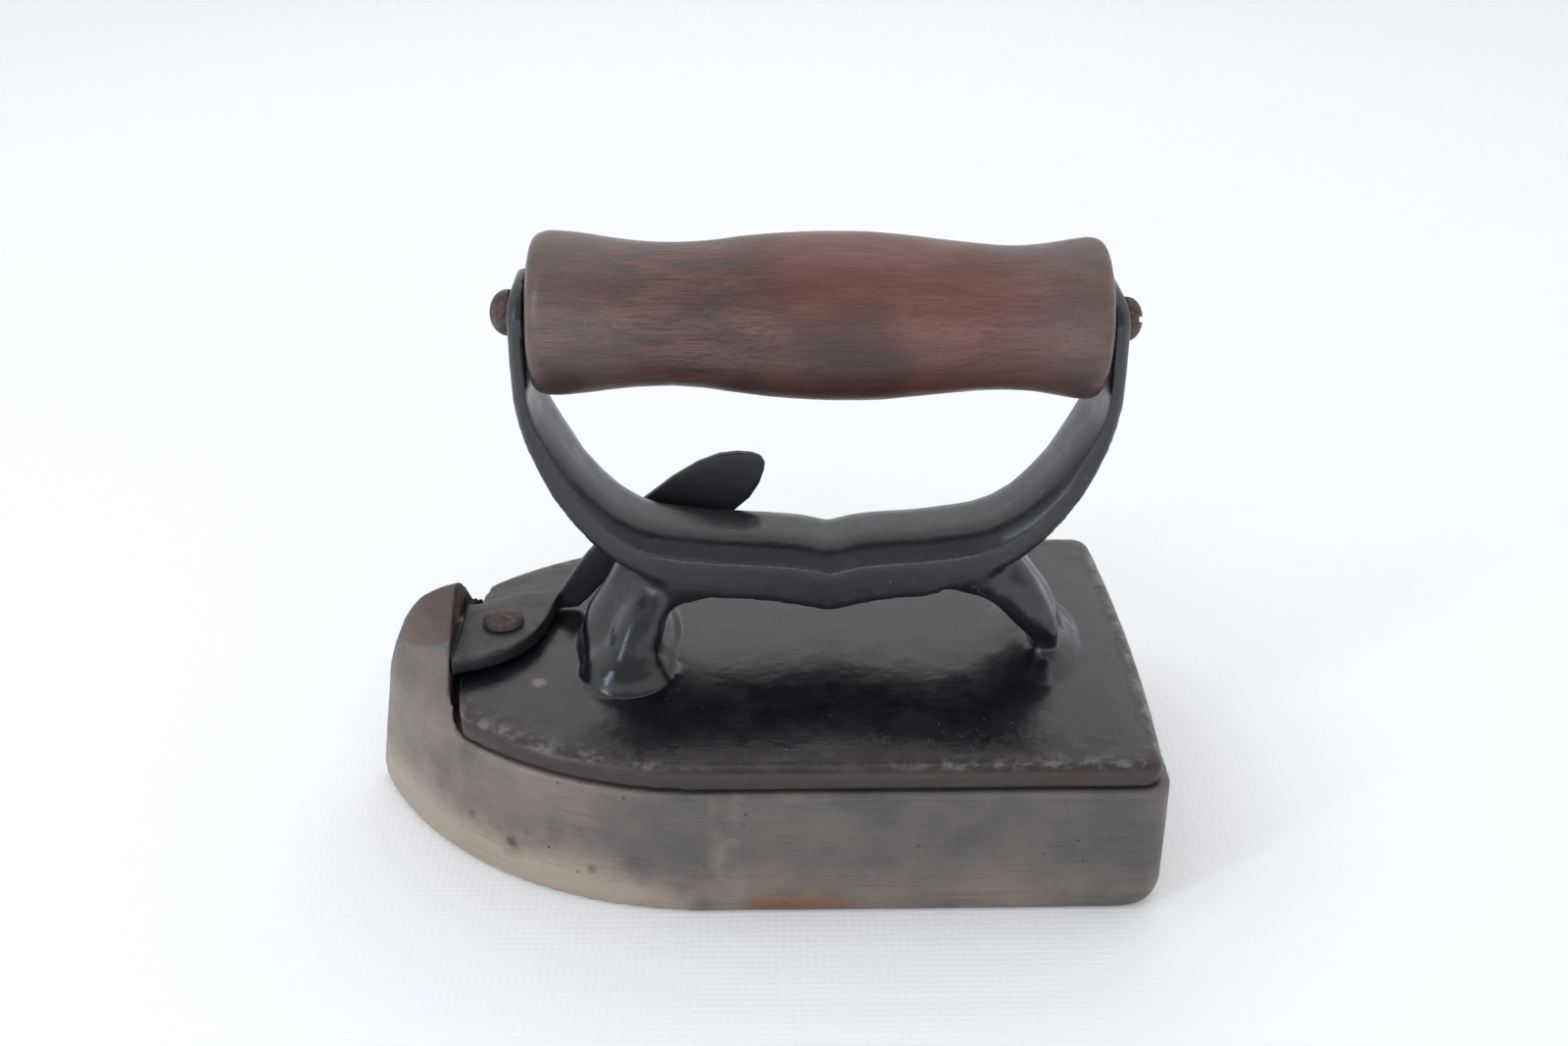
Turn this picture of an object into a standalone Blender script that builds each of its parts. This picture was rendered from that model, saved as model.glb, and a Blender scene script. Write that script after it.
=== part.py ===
"""Slug iron: a hollow cast-iron iron heated by a loose slug, with a lift-off lid that carries the handle.

Metres, +Z up. The origin is on the sole, under the middle of the iron. The nose points to -X.
"""
import math

import bmesh
import bpy
from mathutils import Matrix, Vector

# Driving dimensions of the iron
BODY_LENGTH = 0.1709
BODY_WIDTH = 0.1032
PARTING_HEIGHT = 0.0295
LID_TOP_HEIGHT = 0.0352
GRIP_AXIS_HEIGHT = 0.1125
GRIP_TILT = math.radians(1.0)
GRIP_BELLY_DIAMETER = 0.0350
YOKE_WIDTH = 0.0230

# Clearances
SEAT_GAP = 0.0003
PIN_GAP = 0.0003
GRIP_END_GAP = 0.00045
CUT_OVERRUN = 0.0020
WELD_DISTANCE = 0.000001

# Body casting; the setbacks here, of the rivet and of the front foot are from the hook's wall
SIDE_ARC_RADIUS = 0.0840
NOSE_ROUND = 0.0050
NOSE_TIP_SEGMENTS = 3
HEEL_CORNER = 0.0060
HEEL_BOW = 0.0005
SIDE_DRAFT = 0.0009
NOSE_DRAFT = 0.0028
SOLE_ROUND = 0.0010
HEEL_ROUND = 0.0050
SOLE_THICKNESS = 0.0080
WALL_THICKNESS = 0.0065
HOOK_DEPTH = 0.02005
CAVITY_SETBACK = 0.0034
HOOK_WALL_SAG = 0.0033
HOOK_WALL_FLAT = 0.0140
HOOK_HEIGHT = 0.0203
HOOK_CHORD_SHARE = 0.56
LATCH_GROOVE_GAP = 0.0006
HEEL_LEDGE_THICKNESS = 0.0026
HEEL_GROOVE_HEIGHT = 0.0034
HEEL_GROOVE_DEPTH = 0.0022
HEEL_GROOVE_WIDTH = 0.0320
NOSE_SEGMENTS = 22
CORNER_SEGMENTS = 6
HEEL_SEGMENTS = 6
WALL_SEGMENTS = 8
# Height above the parting, reach of the nose tip and half width, each as a share of the full one
HOOK_LEVEL_SHARES = (
    (0.06, 0.985, 0.95), (0.17, 0.95, 0.865), (0.31, 0.895, 0.745), (0.47, 0.815, 0.625),
    (0.62, 0.735, 0.515), (0.755, 0.62, 0.39), (0.87, 0.50, 0.265), (0.95, 0.33, 0.15), (1.0, 0.14, 0.05))
# Three points on the flat ground on the hook's near side: from the wall as a share of the hook's depth,
# across as a share of its half chord, and height as a share of its height
HOOK_FACET_SHARES = ((0.0, 0.0, 0.99), (-0.454, 0.0, 0.882), (0.0, -0.408, 0.645))
# Height and tuck of the rounded sole edge, as shares of its radius
EDGE_ROUND_SHARES = ((0.0, 1.0), (0.12, 0.55), (0.4, 0.2), (1.0, 0.0))

# Slug
SLUG_GAP = 0.0012
SLUG_HEIGHT = 0.0132
SLUG_EDGE = 0.0015
SLUG_HOLE_RADIUS = 0.0065
SLUG_HOLE_HEEL_SETBACK = 0.02945

# Lid plate
LID_INSET = 0.0005
LID_HEEL_BOW = 0.0016
LID_EDGE_ROUND = 0.0026
LID_CROWN = 0.0010
LID_FRONT_GAP = 0.0018
LID_CORNER_GAP = 0.0005
LID_LIP_DEPTH = 0.0022
LID_LIP_GAP = 0.0009
LID_LIP_SETBACK = 0.0184
TONGUE_WIDTH = 0.0280
TONGUE_THICKNESS = 0.0024
TONGUE_LENGTH = 0.0080
TONGUE_GAP = 0.0005
TONGUE_NECK_SETBACK = 0.0022
# Length, width and crown height of the rings over the lid's crowned top, as shares of the full ones
LID_CROWN_SHARES = ((0.97, 0.75, 0.36), (0.93, 0.4, 0.8), (0.9, 0.05, 1.0))
# Height and inset of the rounded lid edge, as shares of its radius
LID_EDGE_SHARES = ((0.0, 0.04), (0.36, 0.12), (0.7, 0.36), (0.92, 0.7), (1.0, 1.15))

# Yoke: a strap with flat sides and a rounded hand side, its outer corners chamfered towards the ears
YOKE_NOSE_SETBACK = 0.0366
YOKE_HEEL_SETBACK = 0.0090
BAR_UNDERSIDE = 0.0530
BAR_CROWN = 0.0044
CROWN_POWER = 4
YOKE_CHAMFER = 0.0016
BAR_CHAMFER_SHARE = 0.08
EAR_THICKNESS = 0.0036
EAR_RISE = 0.0089
EAR_EDGE_ROUND = 0.0027
KINK_OFFSET = 0.0028
# Half span and height of the outer edge, of the inner edge, and the crown, from the ear to mid-bar.
# Spans are shares of the half span, heights of the rise from the bar's underside to the grip's axis.
YOKE_STATION_SHARES = (
    (1.000, 0.860, 0.943, 0.860, 0.00), (0.997, 0.740, 0.943, 0.740, 0.00),
    (0.984, 0.657, 0.928, 0.660, 0.15), (0.958, 0.564, 0.897, 0.577, 0.38),
    (0.926, 0.480, 0.866, 0.500, 0.56), (0.886, 0.392, 0.832, 0.420, 0.68),
    (0.830, 0.301, 0.778, 0.338, 0.78), (0.763, 0.212, 0.715, 0.262, 0.86),
    (0.686, 0.137, 0.638, 0.203, 0.92), (0.598, 0.078, 0.562, 0.170, 0.96),
    (0.479, 0.022, 0.463, 0.150, 1.00), (0.351, -0.012, 0.343, 0.134, 1.00),
    (0.207, -0.022, 0.207, 0.126, 1.00), (0.100, -0.043, 0.100, 0.116, 1.00),
    (0.052, -0.055, 0.052, 0.104, 1.00), (0.000, -0.065, 0.000, 0.089, 1.00))
EAR_SEGMENTS = 6
CROWN_SEGMENTS = 8

# Legs, from the rim of the foot up into the bar: rise as a share of LEG_RISE, front and rear edge as
# shares of the foot's length from its centre, the way in from the foot's side to the yoke's, and how
# square the section is, with its outer side bevelled
LEG_WELD = 0.0080
LEG_SINK = 0.0012
LEG_INSET = 0.00005
LEG_POINTS = 32
FOOT_LENGTH = 0.0224
FRONT_FOOT_SETBACK = 0.0380
FRONT_FOOT_WIDTH = 0.0448
REAR_FOOT_SPAN_SHARE = 0.78851
REAR_FOOT_WIDTH = 0.0398
FRONT_LEG_SHARES = (
    (-1.0, -0.50, 0.50, 0.00, 0.0), (0.0, -0.50, 0.50, 0.00, 0.0), (0.05, -0.495, 0.495, 0.018, 0.0),
    (0.10, -0.49, 0.48, 0.073, 0.0), (0.147, -0.483, 0.45, 0.164, 0.0), (0.19, -0.475, 0.41, 0.31, 0.0),
    (0.225, -0.465, 0.36, 0.49, 0.1), (0.256, -0.455, 0.31, 0.676, 0.3), (0.302, -0.435, 0.285, 0.785, 0.65),
    (0.364, -0.40, 0.33, 0.868, 0.9), (0.438, -0.35, 0.395, 0.945, 1.0), (0.515, -0.29, 0.48, 1.0, 1.0),
    (0.574, -0.25, 0.58, 1.0, 1.0), (0.636, -0.21, 0.81, 1.0, 1.0), (0.671, -0.19, 1.0, 1.0, 1.0),
    (0.829, -0.10, 0.90, 1.0, 1.0), (1.0, -0.055, 0.70, 1.0, 1.0))
REAR_LEG_SHARES = (
    (-1.0, -0.50, 0.44, 0.00, 0.0), (0.0, -0.50, 0.44, 0.00, 0.0), (0.040, -0.49, 0.435, 0.02, 0.0),
    (0.058, -0.45, 0.42, 0.13, 0.0), (0.078, -0.38, 0.39, 0.33, 0.0), (0.098, -0.27, 0.35, 0.56, 0.1),
    (0.122, -0.17, 0.30, 0.76, 0.4), (0.158, -0.11, 0.25, 0.88, 0.8), (0.215, -0.12, 0.22, 0.94, 1.0),
    (0.283, -0.20, 0.205, 0.97, 1.0), (0.399, -0.345, 0.175, 1.0, 1.0), (0.496, -0.46, 0.12, 1.0, 1.0),
    (0.554, -0.53, 0.08, 1.0, 1.0), (0.616, -0.645, 0.03, 1.0, 1.0), (0.655, -0.79, -0.01, 1.0, 1.0),
    (0.671, -0.95, -0.02, 1.0, 1.0), (0.829, -0.95, -0.15, 1.0, 1.0), (1.0, -0.90, -0.33, 1.0, 1.0))
LEG_SQUARENESS = 4.5
LEG_BEVEL_SHARE = 0.35
LEG_RIDGE_SHARE = 0.47

# Grip, rod and nut
GRIP_BORE_RADIUS = 0.0035
ROD_RADIUS = 0.0030
ROD_HEAD_RADIUS = 0.0049
ROD_HEAD_HEIGHT = 0.0043
ROD_TENON_RADIUS = 0.0022
NUT_RADIUS = 0.0047
NUT_HEIGHT = 0.0038
NUT_SOCKET_DEPTH = 0.0019
NUT_SLOT_WIDTH = 0.0012
NUT_SLOT_DEPTH = 0.0013
NUT_SLOT_TILT = math.radians(19)
GRIP_SEGMENTS = 48
PIN_SEGMENTS = 24
DOME_SEGMENTS = 7
DOME_RIM_SHARE = 0.2
# Place along the grip and radius there, as shares of the grip's length and of its belly radius
GRIP_PROFILE_SHARES = (
    (0.0, 0.80), (0.006, 0.89), (0.018, 0.945), (0.040, 0.971), (0.085, 0.950), (0.14, 0.897), (0.19, 0.862),
    (0.245, 0.851), (0.30, 0.871), (0.36, 0.922), (0.42, 0.966), (0.49, 0.994), (0.55, 1.0), (0.61, 0.987),
    (0.67, 0.949), (0.73, 0.905), (0.79, 0.868), (0.84, 0.857), (0.885, 0.877), (0.93, 0.926), (0.965, 0.96),
    (0.985, 0.94), (0.995, 0.885), (1.0, 0.80))

# Latch lever and its rivet
RIVET_SETBACK = 0.0098
RIVET_SHANK_RADIUS = 0.0026
RIVET_HEAD_RADIUS = 0.00475
RIVET_HEAD_HEIGHT = 0.0023
RIVET_TAIL_RADIUS = 0.0040
RIVET_TAIL_HEIGHT = 0.0010
WASHER_RADIUS = 0.0050
WASHER_THICKNESS = 0.0012
LATCH_THICKNESS = 0.0039
LATCH_WALL_CLEAR = 0.0004
LATCH_SWEEP_RADIUS = 0.0148
BLADE_THICKNESS = 0.0024
BLADE_SIDE_GAP = 0.0013
LEVER_RISE = 0.0400
LEVER_RUN = 0.0676
LEVER_SQUARENESS = 8
LEVER_POINTS = 24
# Run and rise of the top edge, run and rise of the low edge, near and far side: a plate that narrows
# into an upright blade. Runs are shares of LEVER_RUN, rises of LEVER_RISE and sides of LEVER_SIDE.
LEVER_STATION_SHARES = (
    (0.000, 0.000, 0.000, 0.000, -1.093, 0.586), (0.044, 0.000, 0.044, 0.000, -1.007, 0.607),
    (0.089, 0.000, 0.089, 0.000, -0.929, 0.729), (0.126, 0.000, 0.126, 0.000, -0.843, 0.871),
    (0.163, 0.000, 0.163, 0.000, -0.714, 0.957), (0.192, 0.000, 0.192, 0.000, -0.586, 0.986),
    (0.217, 0.000, 0.217, 0.000, -0.436, 0.993), (0.240, 0.000, 0.240, 0.000, -0.264, 0.996),
    (0.257, 0.000, 0.257, 0.000, -0.071, 1.000), (0.271, 0.000, 0.271, 0.000, 0.143, 1.000),
    (0.281, 0.000, 0.281, 0.000, 0.386, 1.000), (0.291, 0.000, 0.291, 0.000, 0.686, 1.000),
    (0.300, 0.010, 0.300, 0.000, 0.914, 1.000), (0.311, 0.025, 0.317, 0.000, 1.000, 1.000),
    (0.325, 0.060, 0.340, 0.000, 1.000, 1.000), (0.346, 0.115, 0.367, 0.007, 1.000, 1.000),
    (0.373, 0.185, 0.401, 0.060, 1.000, 1.000), (0.405, 0.258, 0.435, 0.125, 1.000, 1.000),
    (0.444, 0.330, 0.482, 0.205, 1.000, 1.000), (0.482, 0.400, 0.538, 0.280, 1.000, 1.000),
    (0.519, 0.463, 0.609, 0.345, 1.000, 1.000), (0.605, 0.605, 0.714, 0.432, 1.000, 1.000),
    (0.698, 0.730, 0.815, 0.522, 1.000, 1.000), (0.780, 0.817, 0.896, 0.610, 1.000, 1.000),
    (0.852, 0.867, 0.953, 0.698, 1.000, 1.000), (0.914, 0.880, 0.985, 0.785, 1.006, 0.994),
    (0.963, 0.872, 1.001, 0.865, 1.021, 0.979), (0.990, 0.855, 1.004, 0.910, 1.043, 0.957))

HALF_LENGTH = BODY_LENGTH / 2
HALF_WIDTH = BODY_WIDTH / 2
HOOK_WALL_X = HOOK_DEPTH - HALF_LENGTH
CAVITY_FRONT_X = HOOK_WALL_X + CAVITY_SETBACK
LID_LIP_FRONT_X = HOOK_WALL_X + LID_LIP_SETBACK
RIVET_X = HOOK_WALL_X + RIVET_SETBACK
SLUG_HOLE_X = HALF_LENGTH - SLUG_HOLE_HEEL_SETBACK
YOKE_HALF_SPAN = (BODY_LENGTH - YOKE_NOSE_SETBACK - YOKE_HEEL_SETBACK) / 2
YOKE_CENTRE_X = (YOKE_NOSE_SETBACK - YOKE_HEEL_SETBACK) / 2
FRONT_FOOT_X = HOOK_WALL_X + FRONT_FOOT_SETBACK
REAR_FOOT_X = YOKE_CENTRE_X + YOKE_HALF_SPAN * REAR_FOOT_SPAN_SHARE
LEG_RISE = BAR_UNDERSIDE + LEG_WELD - LID_TOP_HEIGHT
GRIP_LENGTH = 2 * (YOKE_HALF_SPAN - EAR_THICKNESS - GRIP_END_GAP)
YOKE_HALF_WIDTH = YOKE_WIDTH / 2
BELLY_RADIUS = GRIP_BELLY_DIAMETER / 2
CAVITY_INSET = WALL_THICKNESS + SIDE_DRAFT
HOOK_TOP = PARTING_HEIGHT + HOOK_HEIGHT
HOOK_HALF_CHORD = HALF_WIDTH * HOOK_CHORD_SHARE
LATCH_UNDERSIDE = LID_TOP_HEIGHT + LID_CROWN + SEAT_GAP
LATCH_TOP = LATCH_UNDERSIDE + LATCH_THICKNESS
LEVER_SIDE = YOKE_HALF_WIDTH + BLADE_SIDE_GAP + BLADE_THICKNESS / 2


def clear_scene():
    """Remove every object and the collections of an earlier run."""
    for thing in list(bpy.data.objects):
        bpy.data.objects.remove(thing, do_unlink=True)
    for group in list(bpy.data.collections):
        bpy.data.collections.remove(group)


def collection(name):
    group = bpy.data.collections.new(name)
    bpy.context.scene.collection.children.link(group)
    return group


def material(name, colour, roughness, metallic):
    """One plain Principled finish for a sub-part."""
    finish = bpy.data.materials.new(name)
    finish.use_nodes = True
    shader = finish.node_tree.nodes["Principled BSDF"]
    shader.inputs["Base Color"].default_value = (*colour, 1.0)
    shader.inputs["Roughness"].default_value = roughness
    shader.inputs["Metallic"].default_value = metallic
    finish.diffuse_color = (*colour, 1.0)
    return finish


def place_mesh(name, shape, group, finish=None, smooth=True):
    """Turn a bmesh into a named object with welded points and outward faces."""
    bmesh.ops.remove_doubles(shape, verts=shape.verts, dist=WELD_DISTANCE)
    bmesh.ops.recalc_face_normals(shape, faces=shape.faces)
    mesh = bpy.data.meshes.new(name)
    shape.to_mesh(mesh)
    shape.free()
    thing = bpy.data.objects.new(name, mesh)
    group.objects.link(thing)
    if finish:
        mesh.materials.append(finish)
    if smooth:
        mesh.shade_smooth()
        mesh.set_sharp_from_angle(angle=math.radians(35))
    return thing


def cutter(thing):
    thing.hide_render = True
    thing.display_type = "WIRE"
    return thing


def loft(rings):
    """Bridge closed rings of equal length, with a cap on the first and the last."""
    shape = bmesh.new()
    loops = [[shape.verts.new(point) for point in ring] for ring in rings]
    for low, high in zip(loops, loops[1:]):
        for i in range(len(low)):
            j = (i + 1) % len(low)
            shape.faces.new((low[i], low[j], high[j], high[i]))
    shape.faces.new(reversed(loops[0]))
    shape.faces.new(loops[-1])
    return shape


def boolean(thing, tool, operation="DIFFERENCE"):
    """Add an exact Boolean of one tool to a piece."""
    modifier = thing.modifiers.new(tool.name, "BOOLEAN")
    modifier.operation = operation
    modifier.solver = "EXACT"
    modifier.object = tool


def cylinder(name, radius, start, end, group, segments=32):
    """A plain round bar between two points."""
    axis = Vector(end) - Vector(start)
    turn = axis.to_track_quat("Z", "Y").to_matrix().to_4x4()
    middle = Matrix.Translation((Vector(start) + Vector(end)) / 2)
    shape = bmesh.new()
    bmesh.ops.create_cone(shape, cap_ends=True, segments=segments, radius1=radius, radius2=radius,
                          depth=axis.length, matrix=middle @ turn)
    return place_mesh(name, shape, group)


def box(name, low, high, group):
    """A plain block between two corners."""
    size = Vector(high) - Vector(low)
    centre = (Vector(high) + Vector(low)) / 2
    shape = bmesh.new()
    bmesh.ops.create_cube(shape, size=1.0, matrix=Matrix.Translation(centre) @ Matrix.Diagonal((*size, 1.0)))
    return place_mesh(name, shape, group, smooth=False)


def prism(name, outline, low, high, group):
    """A flat outline with a straight thickness, from one height to another."""
    curve = bpy.data.curves.new(name, "CURVE")
    curve.dimensions = "2D"
    curve.fill_mode = "BOTH"
    curve.extrude = (high - low) / 2
    spline = curve.splines.new("POLY")
    spline.points.add(len(outline) - 1)
    spline.use_cyclic_u = True
    for point, (x, y) in zip(spline.points, outline):
        point.co = (x, y, 0, 1)
    holder = bpy.data.objects.new(name + "_outline", curve)
    group.objects.link(holder)
    graph = bpy.context.evaluated_depsgraph_get()
    shape = bmesh.new()
    shape.from_mesh(bpy.data.meshes.new_from_object(holder.evaluated_get(graph)))
    bmesh.ops.translate(shape, vec=(0, 0, (high + low) / 2), verts=shape.verts)
    bpy.data.objects.remove(holder, do_unlink=True)
    return place_mesh(name, shape, group, smooth=False)


def turned(name, profile, group, finish, segments):
    """Turn (height, radius) pairs that run down the outer side; one off the axis is closed to a tube."""
    mesh = bpy.data.meshes.new(name)
    edges = [(i, i + 1) for i in range(len(profile) - 1)]
    if profile[0][1] > 0:
        edges.append((len(profile) - 1, 0))
    mesh.from_pydata([(radius, 0, height) for height, radius in profile], edges, [])
    mesh.materials.append(finish)
    thing = bpy.data.objects.new(name, mesh)
    group.objects.link(thing)
    screw = thing.modifiers.new("turn", "SCREW")
    screw.axis = "Z"
    screw.angle = math.tau
    screw.steps = segments
    screw.render_steps = segments
    screw.use_merge_vertices = True
    screw.merge_threshold = WELD_DISTANCE
    screw.use_smooth_shade = True
    return thing


def lay_along_x(thing):
    """Lay a piece's own Z along the grip's axis, measured from the middle of the yoke."""
    thing.rotation_euler.y = math.pi / 2 + GRIP_TILT
    thing.location = (YOKE_CENTRE_X, 0, GRIP_AXIS_HEIGHT)
    return thing


def half_plan(inset, nose_lean=0.0, heel_tuck=0.0, bow=HEEL_BOW):
    """Points of the +Y half of the iron's plan, from mid-heel to the nose, moved in by inset."""
    width = HALF_WIDTH - inset
    heel = HALF_LENGTH - inset - heel_tuck
    corner = max(HEEL_CORNER - inset, NOSE_ROUND / 4)
    points = []
    for i in range(HEEL_SEGMENTS):
        share = i / HEEL_SEGMENTS
        points.append((heel - bow * share ** 2, share * (width - corner)))
    for i in range(CORNER_SEGMENTS + 1):
        angle = math.pi / 2 * i / CORNER_SEGMENTS
        x = heel - bow - corner + corner * math.cos(angle)
        points.append((x, width - corner + corner * math.sin(angle)))
    return points + nose_points(inset, nose_lean)


def nose_reach(inset):
    """The side arc, the round at the tip, the tip's half angle and the arc's reach along X."""
    arc = SIDE_ARC_RADIUS - inset
    tip = max(NOSE_ROUND - inset, NOSE_ROUND / 8)
    half_angle = math.asin((SIDE_ARC_RADIUS - HALF_WIDTH) / (arc - tip))
    return arc, tip, half_angle, (arc - tip) * math.cos(half_angle) + tip


def nose_points(inset, nose_lean):
    """The side arc from the straight side forward, then the rounded tip."""
    centre_y = HALF_WIDTH - SIDE_ARC_RADIUS
    full_reach = nose_reach(0)[3]
    start = full_reach - HALF_LENGTH
    arc, tip, half_angle, reach = nose_reach(inset)
    points = []
    for i in range(NOSE_SEGMENTS + 1):
        angle = (math.pi / 2 - half_angle) * i / NOSE_SEGMENTS
        points.append((-arc * math.sin(angle), centre_y + arc * math.cos(angle)))
    for i in range(1, NOSE_TIP_SEGMENTS + 1):
        angle = half_angle * (1 - i / NOSE_TIP_SEGMENTS)
        points.append((tip - reach - tip * math.cos(angle), tip * math.sin(angle)))
    return [(start + x + nose_lean * (x / full_reach) ** 2, y) for x, y in points]


def plan(inset, height, nose_lean=0.0, heel_tuck=0.0, bow=HEEL_BOW):
    """The closed plan outline at one height."""
    half = half_plan(inset, nose_lean, heel_tuck, bow)
    other = [(x, -y) for x, y in reversed(half[1:-1])]
    return [(x, y, height) for x, y in half + other]


def clipped(ring, front_x):
    """A ring whose nose is cut off square at front_x."""
    return [(max(x, front_x), y, z) for x, y, z in ring]


def clipped_outline(inset, front_x):
    """The flat plan moved in by inset, with its nose cut off square at front_x."""
    return [(x, y) for x, y, _ in clipped(plan(inset, 0), front_x)]


def wall_x(y, start_x, sag, half_chord):
    """A line across the nose, flat in the middle, whose ends curve back towards the heel."""
    past = max(abs(y) - HOOK_WALL_FLAT, 0.0)
    return start_x + sag * (past / (half_chord - HOOK_WALL_FLAT)) ** 2


def nose_cut(name, start_x, sag, keep_front, low, high, group):
    """A tall block whose front or rear face is the arc across the nose."""
    reach = HALF_WIDTH + CUT_OVERRUN
    sides = [reach * i / WALL_SEGMENTS for i in range(-WALL_SEGMENTS, WALL_SEGMENTS + 1)]
    edge = [(wall_x(side, start_x, sag, HOOK_HALF_CHORD), side) for side in sides]
    far = -HALF_LENGTH - CUT_OVERRUN if keep_front else HALF_LENGTH + CUT_OVERRUN
    return cutter(prism(name, edge + [(far, reach), (far, -reach)], low, high, group))


def facet_cut(name, start, forward, sideways, group):
    """A block whose underside lies on the plane of three points of the hook."""
    way_x = (forward - start).normalized()
    normal = way_x.cross(sideways - start).normalized()
    way_y = normal.cross(way_x)
    heelwards = start - way_x * (HOOK_DEPTH / 4)
    nosewards = start + way_x * (HOOK_DEPTH * 2)
    rings = []
    for lift in (0, HOOK_HEIGHT):
        rings.append([corner + way_y * reach + normal * lift
                      for corner, reach in ((heelwards, -HOOK_HALF_CHORD), (nosewards, -HOOK_HALF_CHORD),
                                            (nosewards, HOOK_HALF_CHORD), (heelwards, HOOK_HALF_CHORD))])
    return cutter(place_mesh(name, loft(rings), group))


def make_body(group, cutters, finish):
    """The hollow sole casting with its nose hook."""
    rings = []
    for rise_share, tuck_share in EDGE_ROUND_SHARES:
        inset = SOLE_ROUND * tuck_share
        tuck = (HEEL_ROUND - SOLE_ROUND) * tuck_share
        rings.append(plan(inset, HEEL_ROUND * rise_share, heel_tuck=tuck))
    rings.append(plan(SIDE_DRAFT, PARTING_HEIGHT, nose_lean=NOSE_DRAFT, heel_tuck=-SIDE_DRAFT))
    base = rings[-1]
    for rise, reach, width in HOOK_LEVEL_SHARES:
        height = PARTING_HEIGHT + HOOK_HEIGHT * rise
        rings.append([(HOOK_WALL_X + (x - HOOK_WALL_X) * reach, y * width, height) for x, y, _ in base])
    body = place_mesh("body", loft(rings), group, finish)

    lid_space = nose_cut("cut_lid_space", HOOK_WALL_X, HOOK_WALL_SAG, False, PARTING_HEIGHT,
                         HOOK_TOP + CUT_OVERRUN, cutters)
    boolean(body, lid_space)

    corners = [Vector((HOOK_WALL_X + HOOK_DEPTH * x, HOOK_HALF_CHORD * y, PARTING_HEIGHT + HOOK_HEIGHT * z))
               for x, y, z in HOOK_FACET_SHARES]
    boolean(body, facet_cut("cut_hook_facet", *corners, cutters))

    cavity = cutter(prism("cut_cavity", clipped_outline(CAVITY_INSET, CAVITY_FRONT_X), SOLE_THICKNESS,
                          PARTING_HEIGHT + CUT_OVERRUN, cutters))
    boolean(body, cavity)

    groove_radius = LATCH_SWEEP_RADIUS + LATCH_GROOVE_GAP
    groove = cutter(cylinder("cut_latch_groove", groove_radius,
                             (RIVET_X, 0, LATCH_UNDERSIDE - LATCH_GROOVE_GAP),
                             (RIVET_X, 0, LATCH_TOP + LATCH_GROOVE_GAP), cutters, segments=64))
    boolean(body, groove)

    inner_heel = HALF_LENGTH - CAVITY_INSET
    groove_top = PARTING_HEIGHT - HEEL_LEDGE_THICKNESS
    slot = cutter(box("cut_heel_groove",
                      (inner_heel - HEEL_GROOVE_DEPTH, -HEEL_GROOVE_WIDTH / 2,
                       groove_top - HEEL_GROOVE_HEIGHT),
                      (inner_heel + HEEL_GROOVE_DEPTH, HEEL_GROOVE_WIDTH / 2, groove_top), cutters))
    boolean(body, slot)
    return body


def make_slug(group, cutters, finish):
    """The loose heating slug, with an eye for the lifting hook."""
    inset = CAVITY_INSET + SLUG_GAP
    low = SOLE_THICKNESS + SEAT_GAP
    high = low + SLUG_HEIGHT
    front = CAVITY_FRONT_X + SLUG_GAP
    levels = ((SLUG_EDGE, low), (0, low + SLUG_EDGE), (0, high - SLUG_EDGE), (SLUG_EDGE, high))
    rings = [clipped(plan(inset + edge, height), front + edge) for edge, height in levels]
    slug = place_mesh("slug", loft(rings), group, finish)
    eye = cutter(cylinder("cut_slug_eye", SLUG_HOLE_RADIUS, (SLUG_HOLE_X, 0, low - CUT_OVERRUN),
                          (SLUG_HOLE_X, 0, high + CUT_OVERRUN), cutters, segments=24))
    boolean(slug, eye)
    return slug


def lid_plate(group, finish):
    """The crowned lid plate with its rounded edge."""
    underside = PARTING_HEIGHT + SEAT_GAP
    inset = SIDE_DRAFT + LID_INSET
    rings = [plan(inset + LID_EDGE_ROUND / 8, underside, NOSE_DRAFT, -SIDE_DRAFT, LID_HEEL_BOW)]
    for rise_share, inset_share in LID_EDGE_SHARES:
        height = LID_TOP_HEIGHT - LID_EDGE_ROUND * (1 - rise_share)
        rings.append(plan(inset + LID_EDGE_ROUND * inset_share, height,
                          NOSE_DRAFT, -SIDE_DRAFT, LID_HEEL_BOW))
    rim = rings[-1]
    for length_share, width_share, crown_share in LID_CROWN_SHARES:
        height = LID_TOP_HEIGHT + LID_CROWN * crown_share
        rings.append([(x * length_share, y * width_share, height) for x, y, _ in rim])
    return place_mesh("lid", loft(rings), group, finish)


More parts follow.
